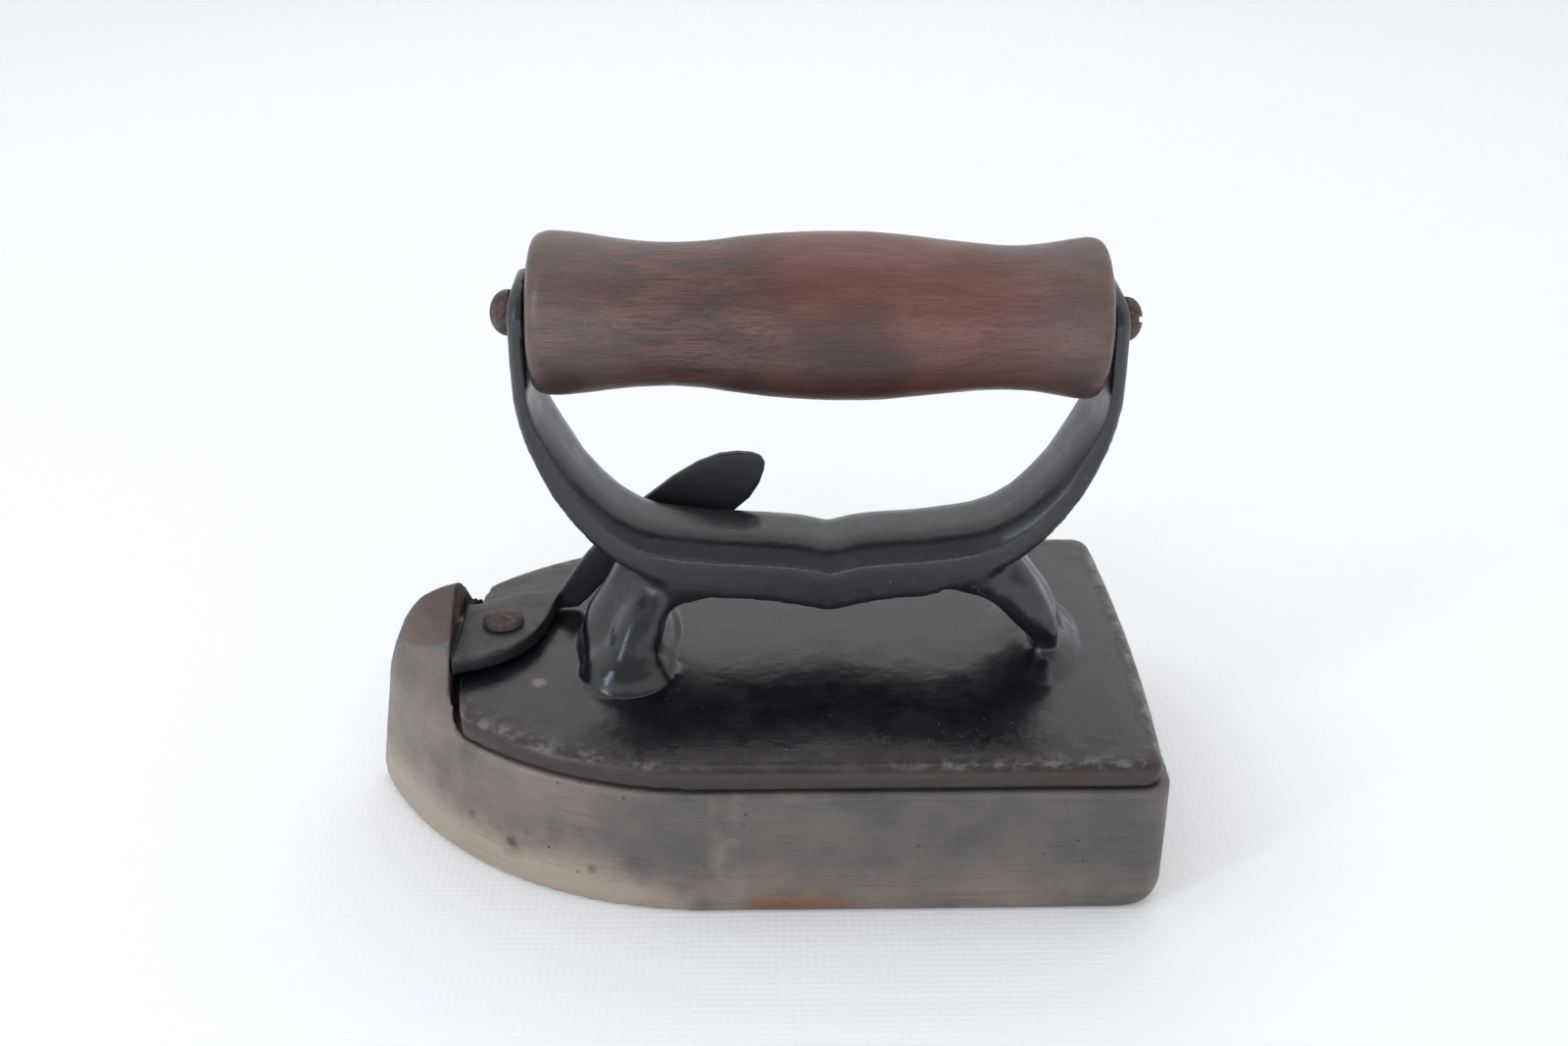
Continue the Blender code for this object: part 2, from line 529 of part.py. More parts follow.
def yoke(group):
    """The handle yoke: bar, uprights and the round ears on the rod's axis."""
    rise = GRIP_AXIS_HEIGHT - BAR_UNDERSIDE
    half = []
    full = YOKE_CHAMFER
    for i in range(EAR_SEGMENTS):
        angle = math.pi / 2 * (1 - i / EAR_SEGMENTS)
        height = EAR_RISE * math.sin(angle)
        width = max(YOKE_HALF_WIDTH * math.cos(angle), YOKE_HALF_WIDTH / 12)
        outer = YOKE_HALF_SPAN - EAR_EDGE_ROUND * math.sin(angle) ** 4
        half.append((outer, GRIP_AXIS_HEIGHT + height, YOKE_HALF_SPAN - EAR_THICKNESS,
                     GRIP_AXIS_HEIGHT + height, 0.0, width, min(full, width / 2)))
    for outer_x, outer_z, inner_x, inner_z, crown in YOKE_STATION_SHARES:
        half.append((YOKE_HALF_SPAN * outer_x, BAR_UNDERSIDE + rise * outer_z, YOKE_HALF_SPAN * inner_x,
                     BAR_UNDERSIDE + rise * inner_z, BAR_CROWN * crown, YOKE_HALF_WIDTH,
                     full * (1 + BAR_CHAMFER_SHARE - crown)))
    rings = []
    for side, stations in ((-1, half), (1, list(reversed(half))[1:])):
        for station in stations:
            rings.append(yoke_section(side, *station))
    return place_mesh("yoke_blank", loft(rings), group)


def yoke_section(side, outer_x, outer_z, inner_x, inner_z, crown, width, chamfer):
    """One cross-section: a flat back with chamfered corners, square sides and a crowned hand side."""
    def place(x, y, z):
        slide = KINK_OFFSET * max(0.0, 1 - abs(x) / (YOKE_HALF_SPAN / 2))
        tilt_share = (z - BAR_UNDERSIDE) / (GRIP_AXIS_HEIGHT - BAR_UNDERSIDE)
        drop = side * x * math.tan(GRIP_TILT) * tilt_share
        return (YOKE_CENTRE_X + side * x + slide, y, z - drop)

    span = math.hypot(inner_x - outer_x, inner_z - outer_z)
    way_x = (inner_x - outer_x) / span
    way_z = (inner_z - outer_z) / span
    ring = [place(outer_x, chamfer - width, outer_z),
            place(outer_x + way_x * chamfer, -width, outer_z + way_z * chamfer)]
    for i in range(CROWN_SEGMENTS + 1):
        angle = math.pi * i / CROWN_SEGMENTS
        lift = crown * (1 - abs(math.cos(angle)) ** CROWN_POWER)
        ring.append(place(inner_x + way_x * lift, -width * math.cos(angle), inner_z + way_z * lift))
    ring.append(place(outer_x + way_x * chamfer, width, outer_z + way_z * chamfer))
    ring.append(place(outer_x, width - chamfer, outer_z))
    return ring


def rounded_ring(half_x, half_y, squareness, count):
    """Points round an oval; a squareness of 2 is an ellipse and more is closer to a rectangle."""
    power = 2 / squareness
    ring = []
    for i in range(count):
        angle = math.tau * i / count
        across, along = math.cos(angle), math.sin(angle)
        ring.append((math.copysign(abs(across) ** power, across) * half_x,
                     math.copysign(abs(along) ** power, along) * half_y))
    return ring


def leg(name, foot_x, foot_width, outer_way, shares, group):
    """A splayed leg, flush with the yoke's sides and bevelled outwards, on a saucer-shaped foot."""
    rings = []
    for rise, front, rear, inwards, square in shares:
        height = LID_TOP_HEIGHT + (LEG_RISE * rise if rise >= 0 else LEG_SINK * rise)
        middle = foot_x + FOOT_LENGTH * (front + rear) / 2
        half_x = FOOT_LENGTH * (rear - front) / 2
        half_y = foot_width / 2 + (YOKE_HALF_WIDTH - LEG_INSET - foot_width / 2) * inwards
        ring = []
        for x, y in rounded_ring(half_x, half_y, 2 + (LEG_SQUARENESS - 2) * square, LEG_POINTS):
            from_outside = (1 - outer_way * x / half_x) / 2
            full = min(1, LEG_BEVEL_SHARE + (1 - LEG_BEVEL_SHARE) * from_outside / LEG_RIDGE_SHARE)
            ring.append((middle + x, y * (1 - square * (1 - full)), height))
        rings.append(ring)
    return place_mesh(name, loft(rings), group)


def make_lid(group, cutters, finish):
    """Lid, legs and yoke: one casting, with a locating lip and a rear tongue below."""
    lid = lid_plate(group, finish)
    underside = PARTING_HEIGHT + SEAT_GAP
    sag = HOOK_WALL_SAG - LID_FRONT_GAP + LID_CORNER_GAP
    front = nose_cut("cut_lid_front", HOOK_WALL_X + LID_FRONT_GAP, sag, True, underside - LID_LIP_DEPTH,
                     LID_TOP_HEIGHT + LID_CROWN + CUT_OVERRUN, cutters)
    boolean(lid, front)

    lip = cutter(prism("join_lip", clipped_outline(CAVITY_INSET + LID_LIP_GAP, LID_LIP_FRONT_X),
                       underside - LID_LIP_DEPTH, underside + LID_EDGE_ROUND, cutters))
    boolean(lid, lip, "UNION")

    inner_heel = HALF_LENGTH - CAVITY_INSET
    toe_top = PARTING_HEIGHT - HEEL_LEDGE_THICKNESS - SEAT_GAP
    toe_low = toe_top - TONGUE_THICKNESS
    toe_end = inner_heel - HEEL_BOW - TONGUE_GAP
    toe = cutter(box("join_tongue_toe", (toe_end - TONGUE_LENGTH, -TONGUE_WIDTH / 2, toe_low),
                     (toe_end, TONGUE_WIDTH / 2, toe_top), cutters))
    neck = cutter(box("join_tongue_neck",
                      (toe_end - TONGUE_LENGTH + SEAT_GAP, -TONGUE_WIDTH / 2 + SEAT_GAP, toe_low + SEAT_GAP),
                      (toe_end - TONGUE_NECK_SETBACK, TONGUE_WIDTH / 2 - SEAT_GAP,
                       underside + LID_EDGE_ROUND),
                      cutters))
    boolean(lid, toe, "UNION")
    boolean(lid, neck, "UNION")

    for name, foot_x, foot_width, outer_way, shares in (
            ("join_front_leg", FRONT_FOOT_X, FRONT_FOOT_WIDTH, -1, FRONT_LEG_SHARES),
            ("join_rear_leg", REAR_FOOT_X, REAR_FOOT_WIDTH, 1, REAR_LEG_SHARES)):
        boolean(lid, cutter(leg(name, foot_x, foot_width, outer_way, shares, cutters)), "UNION")
    handle = cutter(yoke(cutters))
    boolean(lid, handle, "UNION")

    reach = YOKE_HALF_SPAN + CUT_OVERRUN
    drop = reach * math.tan(GRIP_TILT)
    rod_hole = cutter(cylinder("cut_rod_hole", ROD_RADIUS + PIN_GAP,
                               (YOKE_CENTRE_X - reach, 0, GRIP_AXIS_HEIGHT + drop),
                               (YOKE_CENTRE_X + reach, 0, GRIP_AXIS_HEIGHT - drop), cutters))
    boolean(lid, rod_hole)
    rivet_hole = cutter(cylinder("cut_rivet_hole", RIVET_SHANK_RADIUS + PIN_GAP,
                                 (RIVET_X, 0, underside - CUT_OVERRUN),
                                 (RIVET_X, 0, LATCH_UNDERSIDE + CUT_OVERRUN), cutters))
    boolean(lid, rivet_hole)
    return lid


def make_grip(group, finish):
    """The turned wooden grip with its rod bore."""
    front = -GRIP_LENGTH / 2
    rear = GRIP_LENGTH / 2
    outer = [(front + GRIP_LENGTH * along, BELLY_RADIUS * radius) for along, radius in GRIP_PROFILE_SHARES]
    profile = [(rear, GRIP_BORE_RADIUS)] + list(reversed(outer)) + [(front, GRIP_BORE_RADIUS)]
    return lay_along_x(turned("grip", profile, group, finish, GRIP_SEGMENTS))


def dome(base, height, radius, way):
    """Profile points of a dome, from its tip on the axis to its rim at the base."""
    points = [(base + way * height, 0)]
    for i in reversed(range(DOME_SEGMENTS)):
        angle = math.pi / 2 * i / DOME_SEGMENTS
        rise_share = DOME_RIM_SHARE + (1 - DOME_RIM_SHARE) * math.sin(angle)
        points.append((base + way * height * rise_share, radius * math.cos(angle)))
    return points + [(base, radius)]


def make_rod(group, finish):
    """The through rod with its domed front head and a tenon for the nut."""
    front_face = -YOKE_HALF_SPAN - SEAT_GAP
    shoulder = YOKE_HALF_SPAN - SEAT_GAP
    tenon_end = YOKE_HALF_SPAN + NUT_SOCKET_DEPTH
    shank = [(tenon_end, 0), (tenon_end, ROD_TENON_RADIUS), (shoulder, ROD_TENON_RADIUS),
             (shoulder, ROD_RADIUS), (front_face, ROD_RADIUS)]
    head = list(reversed(dome(front_face, ROD_HEAD_HEIGHT, ROD_HEAD_RADIUS, -1)))
    return lay_along_x(turned("grip_rod", shank + head, group, finish, PIN_SEGMENTS))


def make_nut(group, cutters, finish):
    """The slotted domed nut on the rear ear."""
    face = YOKE_HALF_SPAN + SEAT_GAP
    socket_end = face + NUT_SOCKET_DEPTH
    socket_radius = ROD_TENON_RADIUS + PIN_GAP
    socket = [(face, socket_radius), (socket_end, socket_radius), (socket_end, 0)]
    outside = dome(face, NUT_HEIGHT, NUT_RADIUS, 1)
    nut = lay_along_x(turned("cap_nut", outside + socket, group, finish, PIN_SEGMENTS))
    tip = face + NUT_HEIGHT
    slot = box("cut_nut_slot", (tip - NUT_SLOT_DEPTH, -NUT_RADIUS - CUT_OVERRUN, -NUT_SLOT_WIDTH / 2),
               (tip + CUT_OVERRUN, NUT_RADIUS + CUT_OVERRUN, NUT_SLOT_WIDTH / 2), cutters)
    slot.location = nut.location
    slot.rotation_euler = (-NUT_SLOT_TILT, GRIP_TILT, 0)
    boolean(nut, cutter(slot))
    return nut


def make_lever(group, cutters, finish):
    """The latch: a flat plate on the rivet that narrows into an upright thumb leaf beside the yoke."""
    pivot = Vector((RIVET_X, 0, LATCH_UNDERSIDE))
    front = Vector((HOOK_WALL_X + LATCH_WALL_CLEAR, 0, LATCH_UNDERSIDE)) - pivot
    outline = rounded_ring(0.5, 0.5, LEVER_SQUARENESS, LEVER_POINTS)
    rings = []
    for top_run, top_rise, low_run, low_rise, near, far in LEVER_STATION_SHARES:
        top = front + Vector((LEVER_RUN * top_run, 0, LATCH_THICKNESS + LEVER_RISE * top_rise))
        low = front + Vector((LEVER_RUN * low_run, 0, LEVER_RISE * low_rise))
        near_side = LEVER_SIDE * near - BLADE_THICKNESS / 2
        width = LEVER_SIDE * far + BLADE_THICKNESS / 2 - near_side
        rings.append([low.lerp(top, up + 0.5) + Vector((0, near_side + width * (across + 0.5), 0))
                      for across, up in outline])
    lever = place_mesh("latch_lever", loft(rings), group, finish)
    lever.location = pivot
    hole = cutter(cylinder("cut_lever_hole", RIVET_SHANK_RADIUS + PIN_GAP,
                           (RIVET_X, 0, LATCH_UNDERSIDE - CUT_OVERRUN),
                           (RIVET_X, 0, LATCH_TOP + CUT_OVERRUN), cutters))
    boolean(lever, hole)
    return lever


def make_rivet(group, finish):
    """The latch rivet: domed head above the lever, shank through the lid, peened tail below the washer."""
    head_base = LATCH_TOP + SEAT_GAP
    tail_top = PARTING_HEIGHT - WASHER_THICKNESS - SEAT_GAP
    tail_low = tail_top - RIVET_TAIL_HEIGHT
    head = dome(head_base, RIVET_HEAD_HEIGHT, RIVET_HEAD_RADIUS, 1)
    shank = [(head_base, RIVET_SHANK_RADIUS), (tail_top, RIVET_SHANK_RADIUS)]
    tail = [(tail_top, RIVET_TAIL_RADIUS), (tail_low + RIVET_TAIL_HEIGHT / 2, RIVET_TAIL_RADIUS),
            (tail_low, RIVET_TAIL_RADIUS * 3 / 4), (tail_low, 0)]
    rivet = turned("latch_rivet", head + shank + tail, group, finish, PIN_SEGMENTS)
    rivet.location.x = RIVET_X
    return rivet


def make_washer(group, finish):
    """The washer under the lid that the rivet is peened over."""
    top = PARTING_HEIGHT
    low = top - WASHER_THICKNESS
    inner = RIVET_SHANK_RADIUS + PIN_GAP
    profile = [(top, inner), (top, WASHER_RADIUS), (low, WASHER_RADIUS), (low, inner)]
    washer = turned("rivet_washer", profile, group, finish, PIN_SEGMENTS)
    washer.location.x = RIVET_X
    return washer


def main():
    clear_scene()
    iron = collection("slug_iron")
    cutters = collection("cutters")
    ground_iron = material("ground_cast_iron", (0.16, 0.14, 0.12), 0.5, 0.7)
    black_iron = material("black_japanned_iron", (0.02, 0.022, 0.025), 0.4, 0.2)
    lever_iron = material("black_forged_iron", (0.025, 0.024, 0.023), 0.45, 0.3)
    rough_iron = material("fire_scaled_iron", (0.09, 0.075, 0.07), 0.8, 0.4)
    rusty_steel = material("rusty_steel", (0.14, 0.10, 0.09), 0.65, 0.5)
    wood = material("dark_hardwood", (0.10, 0.04, 0.03), 0.45, 0.0)
    make_body(iron, cutters, ground_iron)
    make_slug(iron, cutters, rough_iron)
    make_lid(iron, cutters, black_iron)
    make_grip(iron, wood)
    make_rod(iron, rusty_steel)
    make_nut(iron, cutters, rusty_steel)
    make_lever(iron, cutters, lever_iron)
    make_rivet(iron, rusty_steel)
    make_washer(iron, rusty_steel)


main()
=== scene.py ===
"""Dress a slug iron: worn castings, a turned grip, rusted fittings and a soft daylight stage.

Metres, +Z up; the nose points to -X and the near side to -Y.
"""
import math

import bpy
from bpy.props import FloatProperty, FloatVectorProperty, PointerProperty
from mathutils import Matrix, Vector, noise


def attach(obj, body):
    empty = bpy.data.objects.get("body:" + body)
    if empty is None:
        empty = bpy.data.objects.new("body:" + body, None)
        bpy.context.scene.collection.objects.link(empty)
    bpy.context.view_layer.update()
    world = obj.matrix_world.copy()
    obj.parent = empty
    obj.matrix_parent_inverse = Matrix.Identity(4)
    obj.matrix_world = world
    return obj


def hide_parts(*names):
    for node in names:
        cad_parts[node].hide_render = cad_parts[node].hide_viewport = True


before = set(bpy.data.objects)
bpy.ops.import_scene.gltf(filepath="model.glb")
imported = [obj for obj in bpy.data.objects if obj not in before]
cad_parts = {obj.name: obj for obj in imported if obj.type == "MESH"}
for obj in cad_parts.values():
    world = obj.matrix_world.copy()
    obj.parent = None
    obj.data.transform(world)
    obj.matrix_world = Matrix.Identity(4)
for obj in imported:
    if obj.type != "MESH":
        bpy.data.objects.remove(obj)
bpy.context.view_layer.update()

bl_info = {
    "name": "Slug iron",
    "version": (1, 0, 0),
    "blender": (4, 5, 0),
    "location": "View3D > Sidebar > Slug iron",
    "description": "Builds the castings, grip, fittings and stage of a slug iron over its CAD frame",
    "category": "Object",
}

MM_PER_M = 1000
MERGE = 0.000001
SEAT_GAP = 0.0003
SMOOTH_ANGLE = math.radians(40)
GRIP_SMOOTH_ANGLE = math.radians(45)

# Places on the iron
YOKE_CENTRE = Vector((0.0138, 0, 0.1125))
YOKE_HALF_SPAN = 0.06265
GRIP_TILT = math.radians(1.0)
GRIP_END = 0.0586
RIVET_X = -0.0556
LATCH_TOP = 0.0404
BAR_NEAR_FACE = -0.0115
# Height range of the yoke's softened inner side, and the strip left sharp along each of its faces
YOKE_SOFT_RANGE = (0.056, 0.104)
YOKE_ARRIS = 0.0004
# Height range, lengthwise ranges and near limit of the softened legs and their saucers
LEG_HEIGHTS = (0.0364, 0.0540)
LEG_SPANS = ((-0.046, -0.014), (0.040, 0.070))
LEG_LIMIT_Y = -0.002
# Low end, high end and radius of lumps that round the legs: front foot, front armpit, rear finger
LEG_SWELLINGS = (
    ((-0.0272, -0.0138, 0.0296), (-0.0272, -0.0138, 0.0436), 0.0101),
    ((-0.0282, -0.0185, 0.0370), (-0.0215, -0.0065, 0.0520), 0.0056),
    ((0.0660, -0.0115, 0.0402), (0.0465, -0.0015, 0.0653), 0.0053))

# Rod, nut and rivet
GRIP_BORE = 0.0036
ROD_HEAD_HEIGHT = 0.0042
ROD_RADIUS = 0.0029
TENON_RADIUS = 0.0021
TENON_REACH = 0.0018
TENON_SHOULDER = 0.0004
NUT_HEIGHT = 0.0037
# Middle of the slot's cutter above the nut's seat, and the cutter's length and height
SLOT_MIDDLE = 0.0042
SLOT_CUTTER = (0.02, 0.0036)
SLOT_TURN = math.radians(-19)
RIVET_HEAD_HEIGHT = 0.0022
RIVET_SHANK = 0.0025
# Height and radius down the rivet's peened tail
RIVET_TAIL = ((0.0280, RIVET_SHANK), (0.0280, 0.0039), (0.0275, 0.0039), (0.0271, 0.0030))

# Sizes of the lumps in each skin: broad dents, then finer grain
BODY_DENT, BODY_GRAIN = 0.009, 0.0022
SLUG_SCALE = 0.004
LID_DENT, LID_GRAIN = 0.012, 0.0025
LEVER_DENT = 0.005
GRIP_DENT, GRIP_NICK = 0.010, 0.003
ROD_DENT = 0.003
RIVET_DENT = 0.0025

# The iron's outline in mm, for its soot. Each long side is an arc, whose centre lies this far towards
# the nose and this far beyond the middle, and the heel is straight
SIDE_CENTRE_X, SIDE_CENTRE_Y = 8.4, 32.4
SIDE_RADIUS = 84.0
HEEL_X = 85.4
# The hook's fold, by its rise with X and its height in mm where X is 0, and the way the ground flat faces
FOLD_SLOPE, FOLD_HEIGHT = 0.404, 69.2
FLAT_NORMAL = (-0.22, -0.51, 0.83)

# The stage, and the camera that was fitted to the photograph
FLOOR_RADIUS = 1.05
SWEEP_RADIUS = 0.25
BACKDROP_HEIGHT = 0.35
# Name, place, width, height, watts and colour of each lamp, and whether surfaces mirror it
LAMPS = (
    ("window_light", (-0.80, -0.62, 0.60), 0.16, 0.8, 2.8, "#dfe9ff", True),
    ("near_light", (0.10, -1.10, 0.40), 1.4, 0.6, 4.2, "#fcfdff", False),
    ("ceiling_light", (0.0, 0.15, 1.20), 0.9, 0.9, 2.0, "#fcfdff", True),
    ("back_light", (0.0, 1.15, 0.75), 1.6, 0.3, 2.4, "#fcfdff", False))
LAMP_AIM = Vector((0, 0, 0.05))
LENS = 41.59
EYE = (0.00113, -0.34935, 0.2444)
EYE_TILT = math.radians(62.8)
EYE_TURN = math.radians(-0.93)

# Place along the grip and radius there, as shares of its half length and of its belly radius
GRIP_PROFILE = (
    (-1.0, 0.80), (-0.988, 0.89), (-0.964, 0.945), (-0.92, 0.971), (-0.83, 0.950), (-0.72, 0.897),
    (-0.62, 0.862), (-0.51, 0.851), (-0.40, 0.871), (-0.28, 0.922), (-0.16, 0.966), (-0.02, 0.994),
    (0.10, 1.0), (0.22, 0.987), (0.34, 0.949), (0.46, 0.905), (0.58, 0.868), (0.68, 0.857),
    (0.77, 0.877), (0.86, 0.926), (0.93, 0.96), (0.97, 0.94), (0.99, 0.885), (1.0, 0.80))
# Spacing of the places along the flash, in mm
FLASH_STEP = 0.7
# X and Z of the bar's near top edge, in mm, where the mould left its flash
FLASH_LINE = (
    (-21.0, 62.9), (-15.2, 61.9), (-7.5, 61.1), (1.0, 60.6), (7.9, 60.0), (13.6, 59.2), (16.5, 58.4),
    (19.7, 59.2), (22.6, 60.0), (28.3, 60.6), (36.2, 61.1), (43.2, 61.9), (49.0, 63.1))


def linear(code):
    """An sRGB hex value as linear red, green and blue."""
    parts = [int(code[i:i + 2], 16) / 255 for i in (1, 3, 5)]
    return tuple(p / 12.92 if p <= 0.04045 else ((p + 0.055) / 1.055) ** 2.4 for p in parts)


def colour(name, code, description):
    """A colour property from an sRGB hex value."""
    return FloatVectorProperty(name=name, description=description, default=linear(code),
                               subtype="COLOR", min=0, max=1)


def length(name, metres, description):
    """A length property."""
    return FloatProperty(name=name, description=description, default=metres, unit="LENGTH", min=0)


class IronSizes(bpy.types.PropertyGroup):
    """Sizes of the iron's finish and small parts."""
    box_skin: length("Box skin", 0.00080, "Mesh spacing of the sole box and the slug; edges soften with it")
    lid_skin: length("Lid skin", 0.00073, "Mesh spacing of the lid; its edges soften with it")
    lever_skin: length("Lever skin", 0.00030, "Mesh spacing of the latch lever")
    casting_grain: length("Casting grain", 0.00010, "Depth of the sand grain in the castings")
    flash_radius: length("Flash", 0.00032, "Radius of the mould flash along the handle's bar")
    belly_diameter: length("Grip belly", 0.0348, "Diameter of the grip at its belly")
    rod_head_radius: length("Rod head", 0.0048, "Radius of the rod's domed head")
    nut_radius: length("Nut", 0.0046, "Radius of the slotted nut")
    nut_slot: length("Nut slot", 0.0012, "Width of the nut's slot")
    rivet_radius: length("Rivet head", 0.0047, "Radius of the latch rivet's head")


class IronColours(bpy.types.PropertyGroup):
    """Colours of the iron's finishes."""
    japan: colour("Japan black", "#0b0d11", "Baked black of the lid and the handle yoke")
    worn_iron: colour("Worn iron", "#413c3a", "Brown iron where the black has rubbed away")
    burnish_and_highlight: colour("Burnished iron", "#85817f", "Bright metal along rubbed edges")
    # Bright rubbed metal, also used for the painted highlight along the lid rim's shoulder
    ground_iron: colour("Ground iron", "#6d6560", "Sides of the sole box")
    straw: colour("Heat tint", "#ad9f8f", "Straw tint towards the nose and the sole")
    rust: colour("Rust", "#52433d", "Rivet, rod head and nut")
    wood: colour("Wood", "#644841", "Lighter wood of the grip")
    wood_dark: colour("Dark wood", "#3e2d2a", "Dark streaks of the grip")
    cloth: colour("Cloth", "#f7f8f9", "Cloth under the iron and backdrop")


def pick(piece):
    """Select one piece alone and make it active."""
    bpy.ops.object.select_all(action="DESELECT")
    piece.select_set(True)
    bpy.context.view_layer.objects.active = piece


def apply_modifier(piece, kind, **settings):
    """Add one modifier and apply it."""
    pick(piece)
    modifier = piece.modifiers.new(kind.title(), kind)
    for name, value in settings.items():
        setattr(modifier, name, value)
    bpy.ops.object.modifier_apply(modifier=modifier.name)


def settle(piece):
    """Move a piece's place into its mesh."""
    pick(piece)
    bpy.ops.object.transform_apply(location=True, rotation=True, scale=True)


def casting(node, name, skin, passes, swellings=()):
    """Copy a CAD solid, merge its loose triangles and lay an even skin over it with softened edges.

    Each swelling is the low end, high end and radius of a long round lump that the skin takes in.
    """
    piece = bpy.data.objects.new(name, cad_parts[node].data.copy())
    bpy.context.collection.objects.link(piece)
    piece.data.materials.clear()
    pick(piece)
    bpy.ops.object.mode_set(mode="EDIT")
    bpy.ops.mesh.select_all(action="SELECT")
    bpy.ops.mesh.remove_doubles(threshold=MERGE)
    bpy.ops.object.mode_set(mode="OBJECT")
    for low, high, radius in swellings:
        reach = Vector(high) - Vector(low)
        bpy.ops.object.select_all(action="DESELECT")
        bpy.ops.mesh.primitive_uv_sphere_add(segments=48, ring_count=24, radius=1,
                                             location=Vector(low) + reach / 2,
                                             rotation=reach.to_track_quat("Z", "Y").to_euler(),
                                             scale=(radius, radius, reach.length / 2))
        lump = bpy.context.object
        settle(lump)
        pick(piece)
        lump.select_set(True)
        bpy.ops.object.join()
    apply_modifier(piece, "REMESH", mode="VOXEL", voxel_size=skin, use_smooth_shade=True)
    apply_modifier(piece, "SMOOTH", factor=0.5, iterations=passes)
    return piece


def soften(piece, chosen, passes):
    """Smooth the part of a skin whose vertices are chosen."""
    group = piece.vertex_groups.new(name="soft")
    group.add([vertex.index for vertex in piece.data.vertices if chosen(vertex)], 1.0, "REPLACE")
    apply_modifier(piece, "SMOOTH", factor=0.5, iterations=passes, vertex_group=group.name)
    piece.vertex_groups.clear()


def roughen(piece, name, size, depth):
    """Sink a skin by a grain of one size, never outwards."""
    grain = bpy.data.textures.new(name, "CLOUDS")
    grain.noise_scale = size
    apply_modifier(piece, "DISPLACE", texture=grain, texture_coords="LOCAL", strength=depth, mid_level=1.0)


def lathe(name, profile, segments):
    """Turn (height, radius) pairs about Z: a ring is extruded and resized, and ends that meet are merged."""
    bpy.ops.object.select_all(action="DESELECT")
    height, radius = profile[0]
    bpy.ops.mesh.primitive_circle_add(vertices=segments, radius=radius, location=(0, 0, height))
    piece = bpy.context.object
    piece.name = piece.data.name = name
    bpy.ops.object.mode_set(mode="EDIT")
    bpy.ops.mesh.select_all(action="SELECT")
    for next_height, next_radius in profile[1:]:
        bpy.ops.mesh.extrude_region_move(TRANSFORM_OT_translate={"value": (0, 0, next_height - height)})
        share = next_radius / radius
        bpy.ops.transform.resize(value=(share, share, 1), center_override=(0, 0, next_height))
        height, radius = next_height, next_radius
    bpy.ops.mesh.select_all(action="SELECT")
    bpy.ops.mesh.remove_doubles(threshold=MERGE)
    bpy.ops.mesh.fill_holes(sides=0)
    bpy.ops.mesh.select_all(action="SELECT")
    bpy.ops.mesh.normals_make_consistent(inside=False)
    bpy.ops.object.mode_set(mode="OBJECT")
    settle(piece)
    bpy.ops.object.shade_smooth_by_angle(angle=SMOOTH_ANGLE)
    return piece


def smooth_run(points, steps):
    """A smooth line through points, with a number of steps between each two."""
    run = []
    last = len(points) - 1
    for i in range(last):
        before, start, end, after = (Vector(points[min(max(k, 0), last)]) for k in range(i - 1, i + 3))
        for step in range(steps):
            t = step / steps
            run.append(0.5 * (2 * start + (end - before) * t
                              + (2 * before - 5 * start + 4 * end - after) * t ** 2
                              + (3 * start - before - 3 * end + after) * t ** 3))
    return run + [Vector(points[-1])]


def dome(base, height, radius, way):
    """Profile of a low dome over a short upright rim, up to nearly its tip."""
    rim = 0.12
    points = [(base, radius), (base + way * height * rim, radius)]
    for i in range(1, 9):
        angle = math.pi / 2 * i / 9
        rise = rim + (1 - rim) * math.sin(angle)
        points.append((base + way * height * rise, radius * math.cos(angle)))
    return points + [(base + way * height, radius / 40)]


def lay_along_grip(piece):
    """Lay a piece turned about Z along the grip's axis, measured from the yoke's middle."""
    piece.rotation_euler.y = math.pi / 2 + GRIP_TILT
    piece.location = YOKE_CENTRE
    settle(piece)


def mount(piece, body, slot, finish, *nodes):
    """Give a piece its material and body, and let it stand for CAD nodes; its slot is not used."""
    piece.data.materials.clear()
    piece.data.materials.append(finish)
    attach(piece, body)
    if nodes:
        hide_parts(*nodes)


class Field:
    """What one output of a shader node gives at each place on a surface, with arithmetic."""

    def __init__(self, socket):
        self.socket = socket
        self.tree = socket.id_data

    def __getitem__(self, output):
        """Another output of the same node."""
        return Field(self.socket.node.outputs[output])

    def maths(self, operation, other=0.0):
        """One operation on this value, or on it and another."""
        return add(self.tree, "Math", {"operation": operation}, {0: self, 1: other})["Value"]

    def __add__(self, other):
        return self.maths("ADD", other)

    def __sub__(self, other):
        return self.maths("SUBTRACT", other)

    def __rsub__(self, number):
        return add(self.tree, "Math", {"operation": "SUBTRACT"}, {0: number, 1: self})["Value"]

    def __mul__(self, other):
        return self.maths("MULTIPLY", other)

    def __or__(self, other):
        """The stronger of two masks."""
        return self.maths("MAXIMUM", other)

    def ease(self, low, high, out_low=0.0, out_high=1.0):
        """A smooth step from low to high; high may be under low."""
        return add(self.tree, "MapRange", {"interpolation_type": "SMOOTHSTEP"},
                   {"Value": self, "From Min": low, "From Max": high,
                    "To Min": out_low, "To Max": out_high})["Result"]


def feed(socket, value):
    """Link a field to an input, or set the input's own value."""
    if isinstance(value, Field):
        socket.id_data.links.new(value.socket, socket)
    else:
        socket.default_value = value


def add(tree, kind, settings, inputs):
    """Add a shader node with its settings, values and links, and give its first output."""
    made = tree.nodes.new("ShaderNode" + kind)
    for name, value in settings.items():
        setattr(made, name, value)
    for name, value in inputs.items():
        feed(made.inputs[name], value)
    return Field(made.outputs[0])


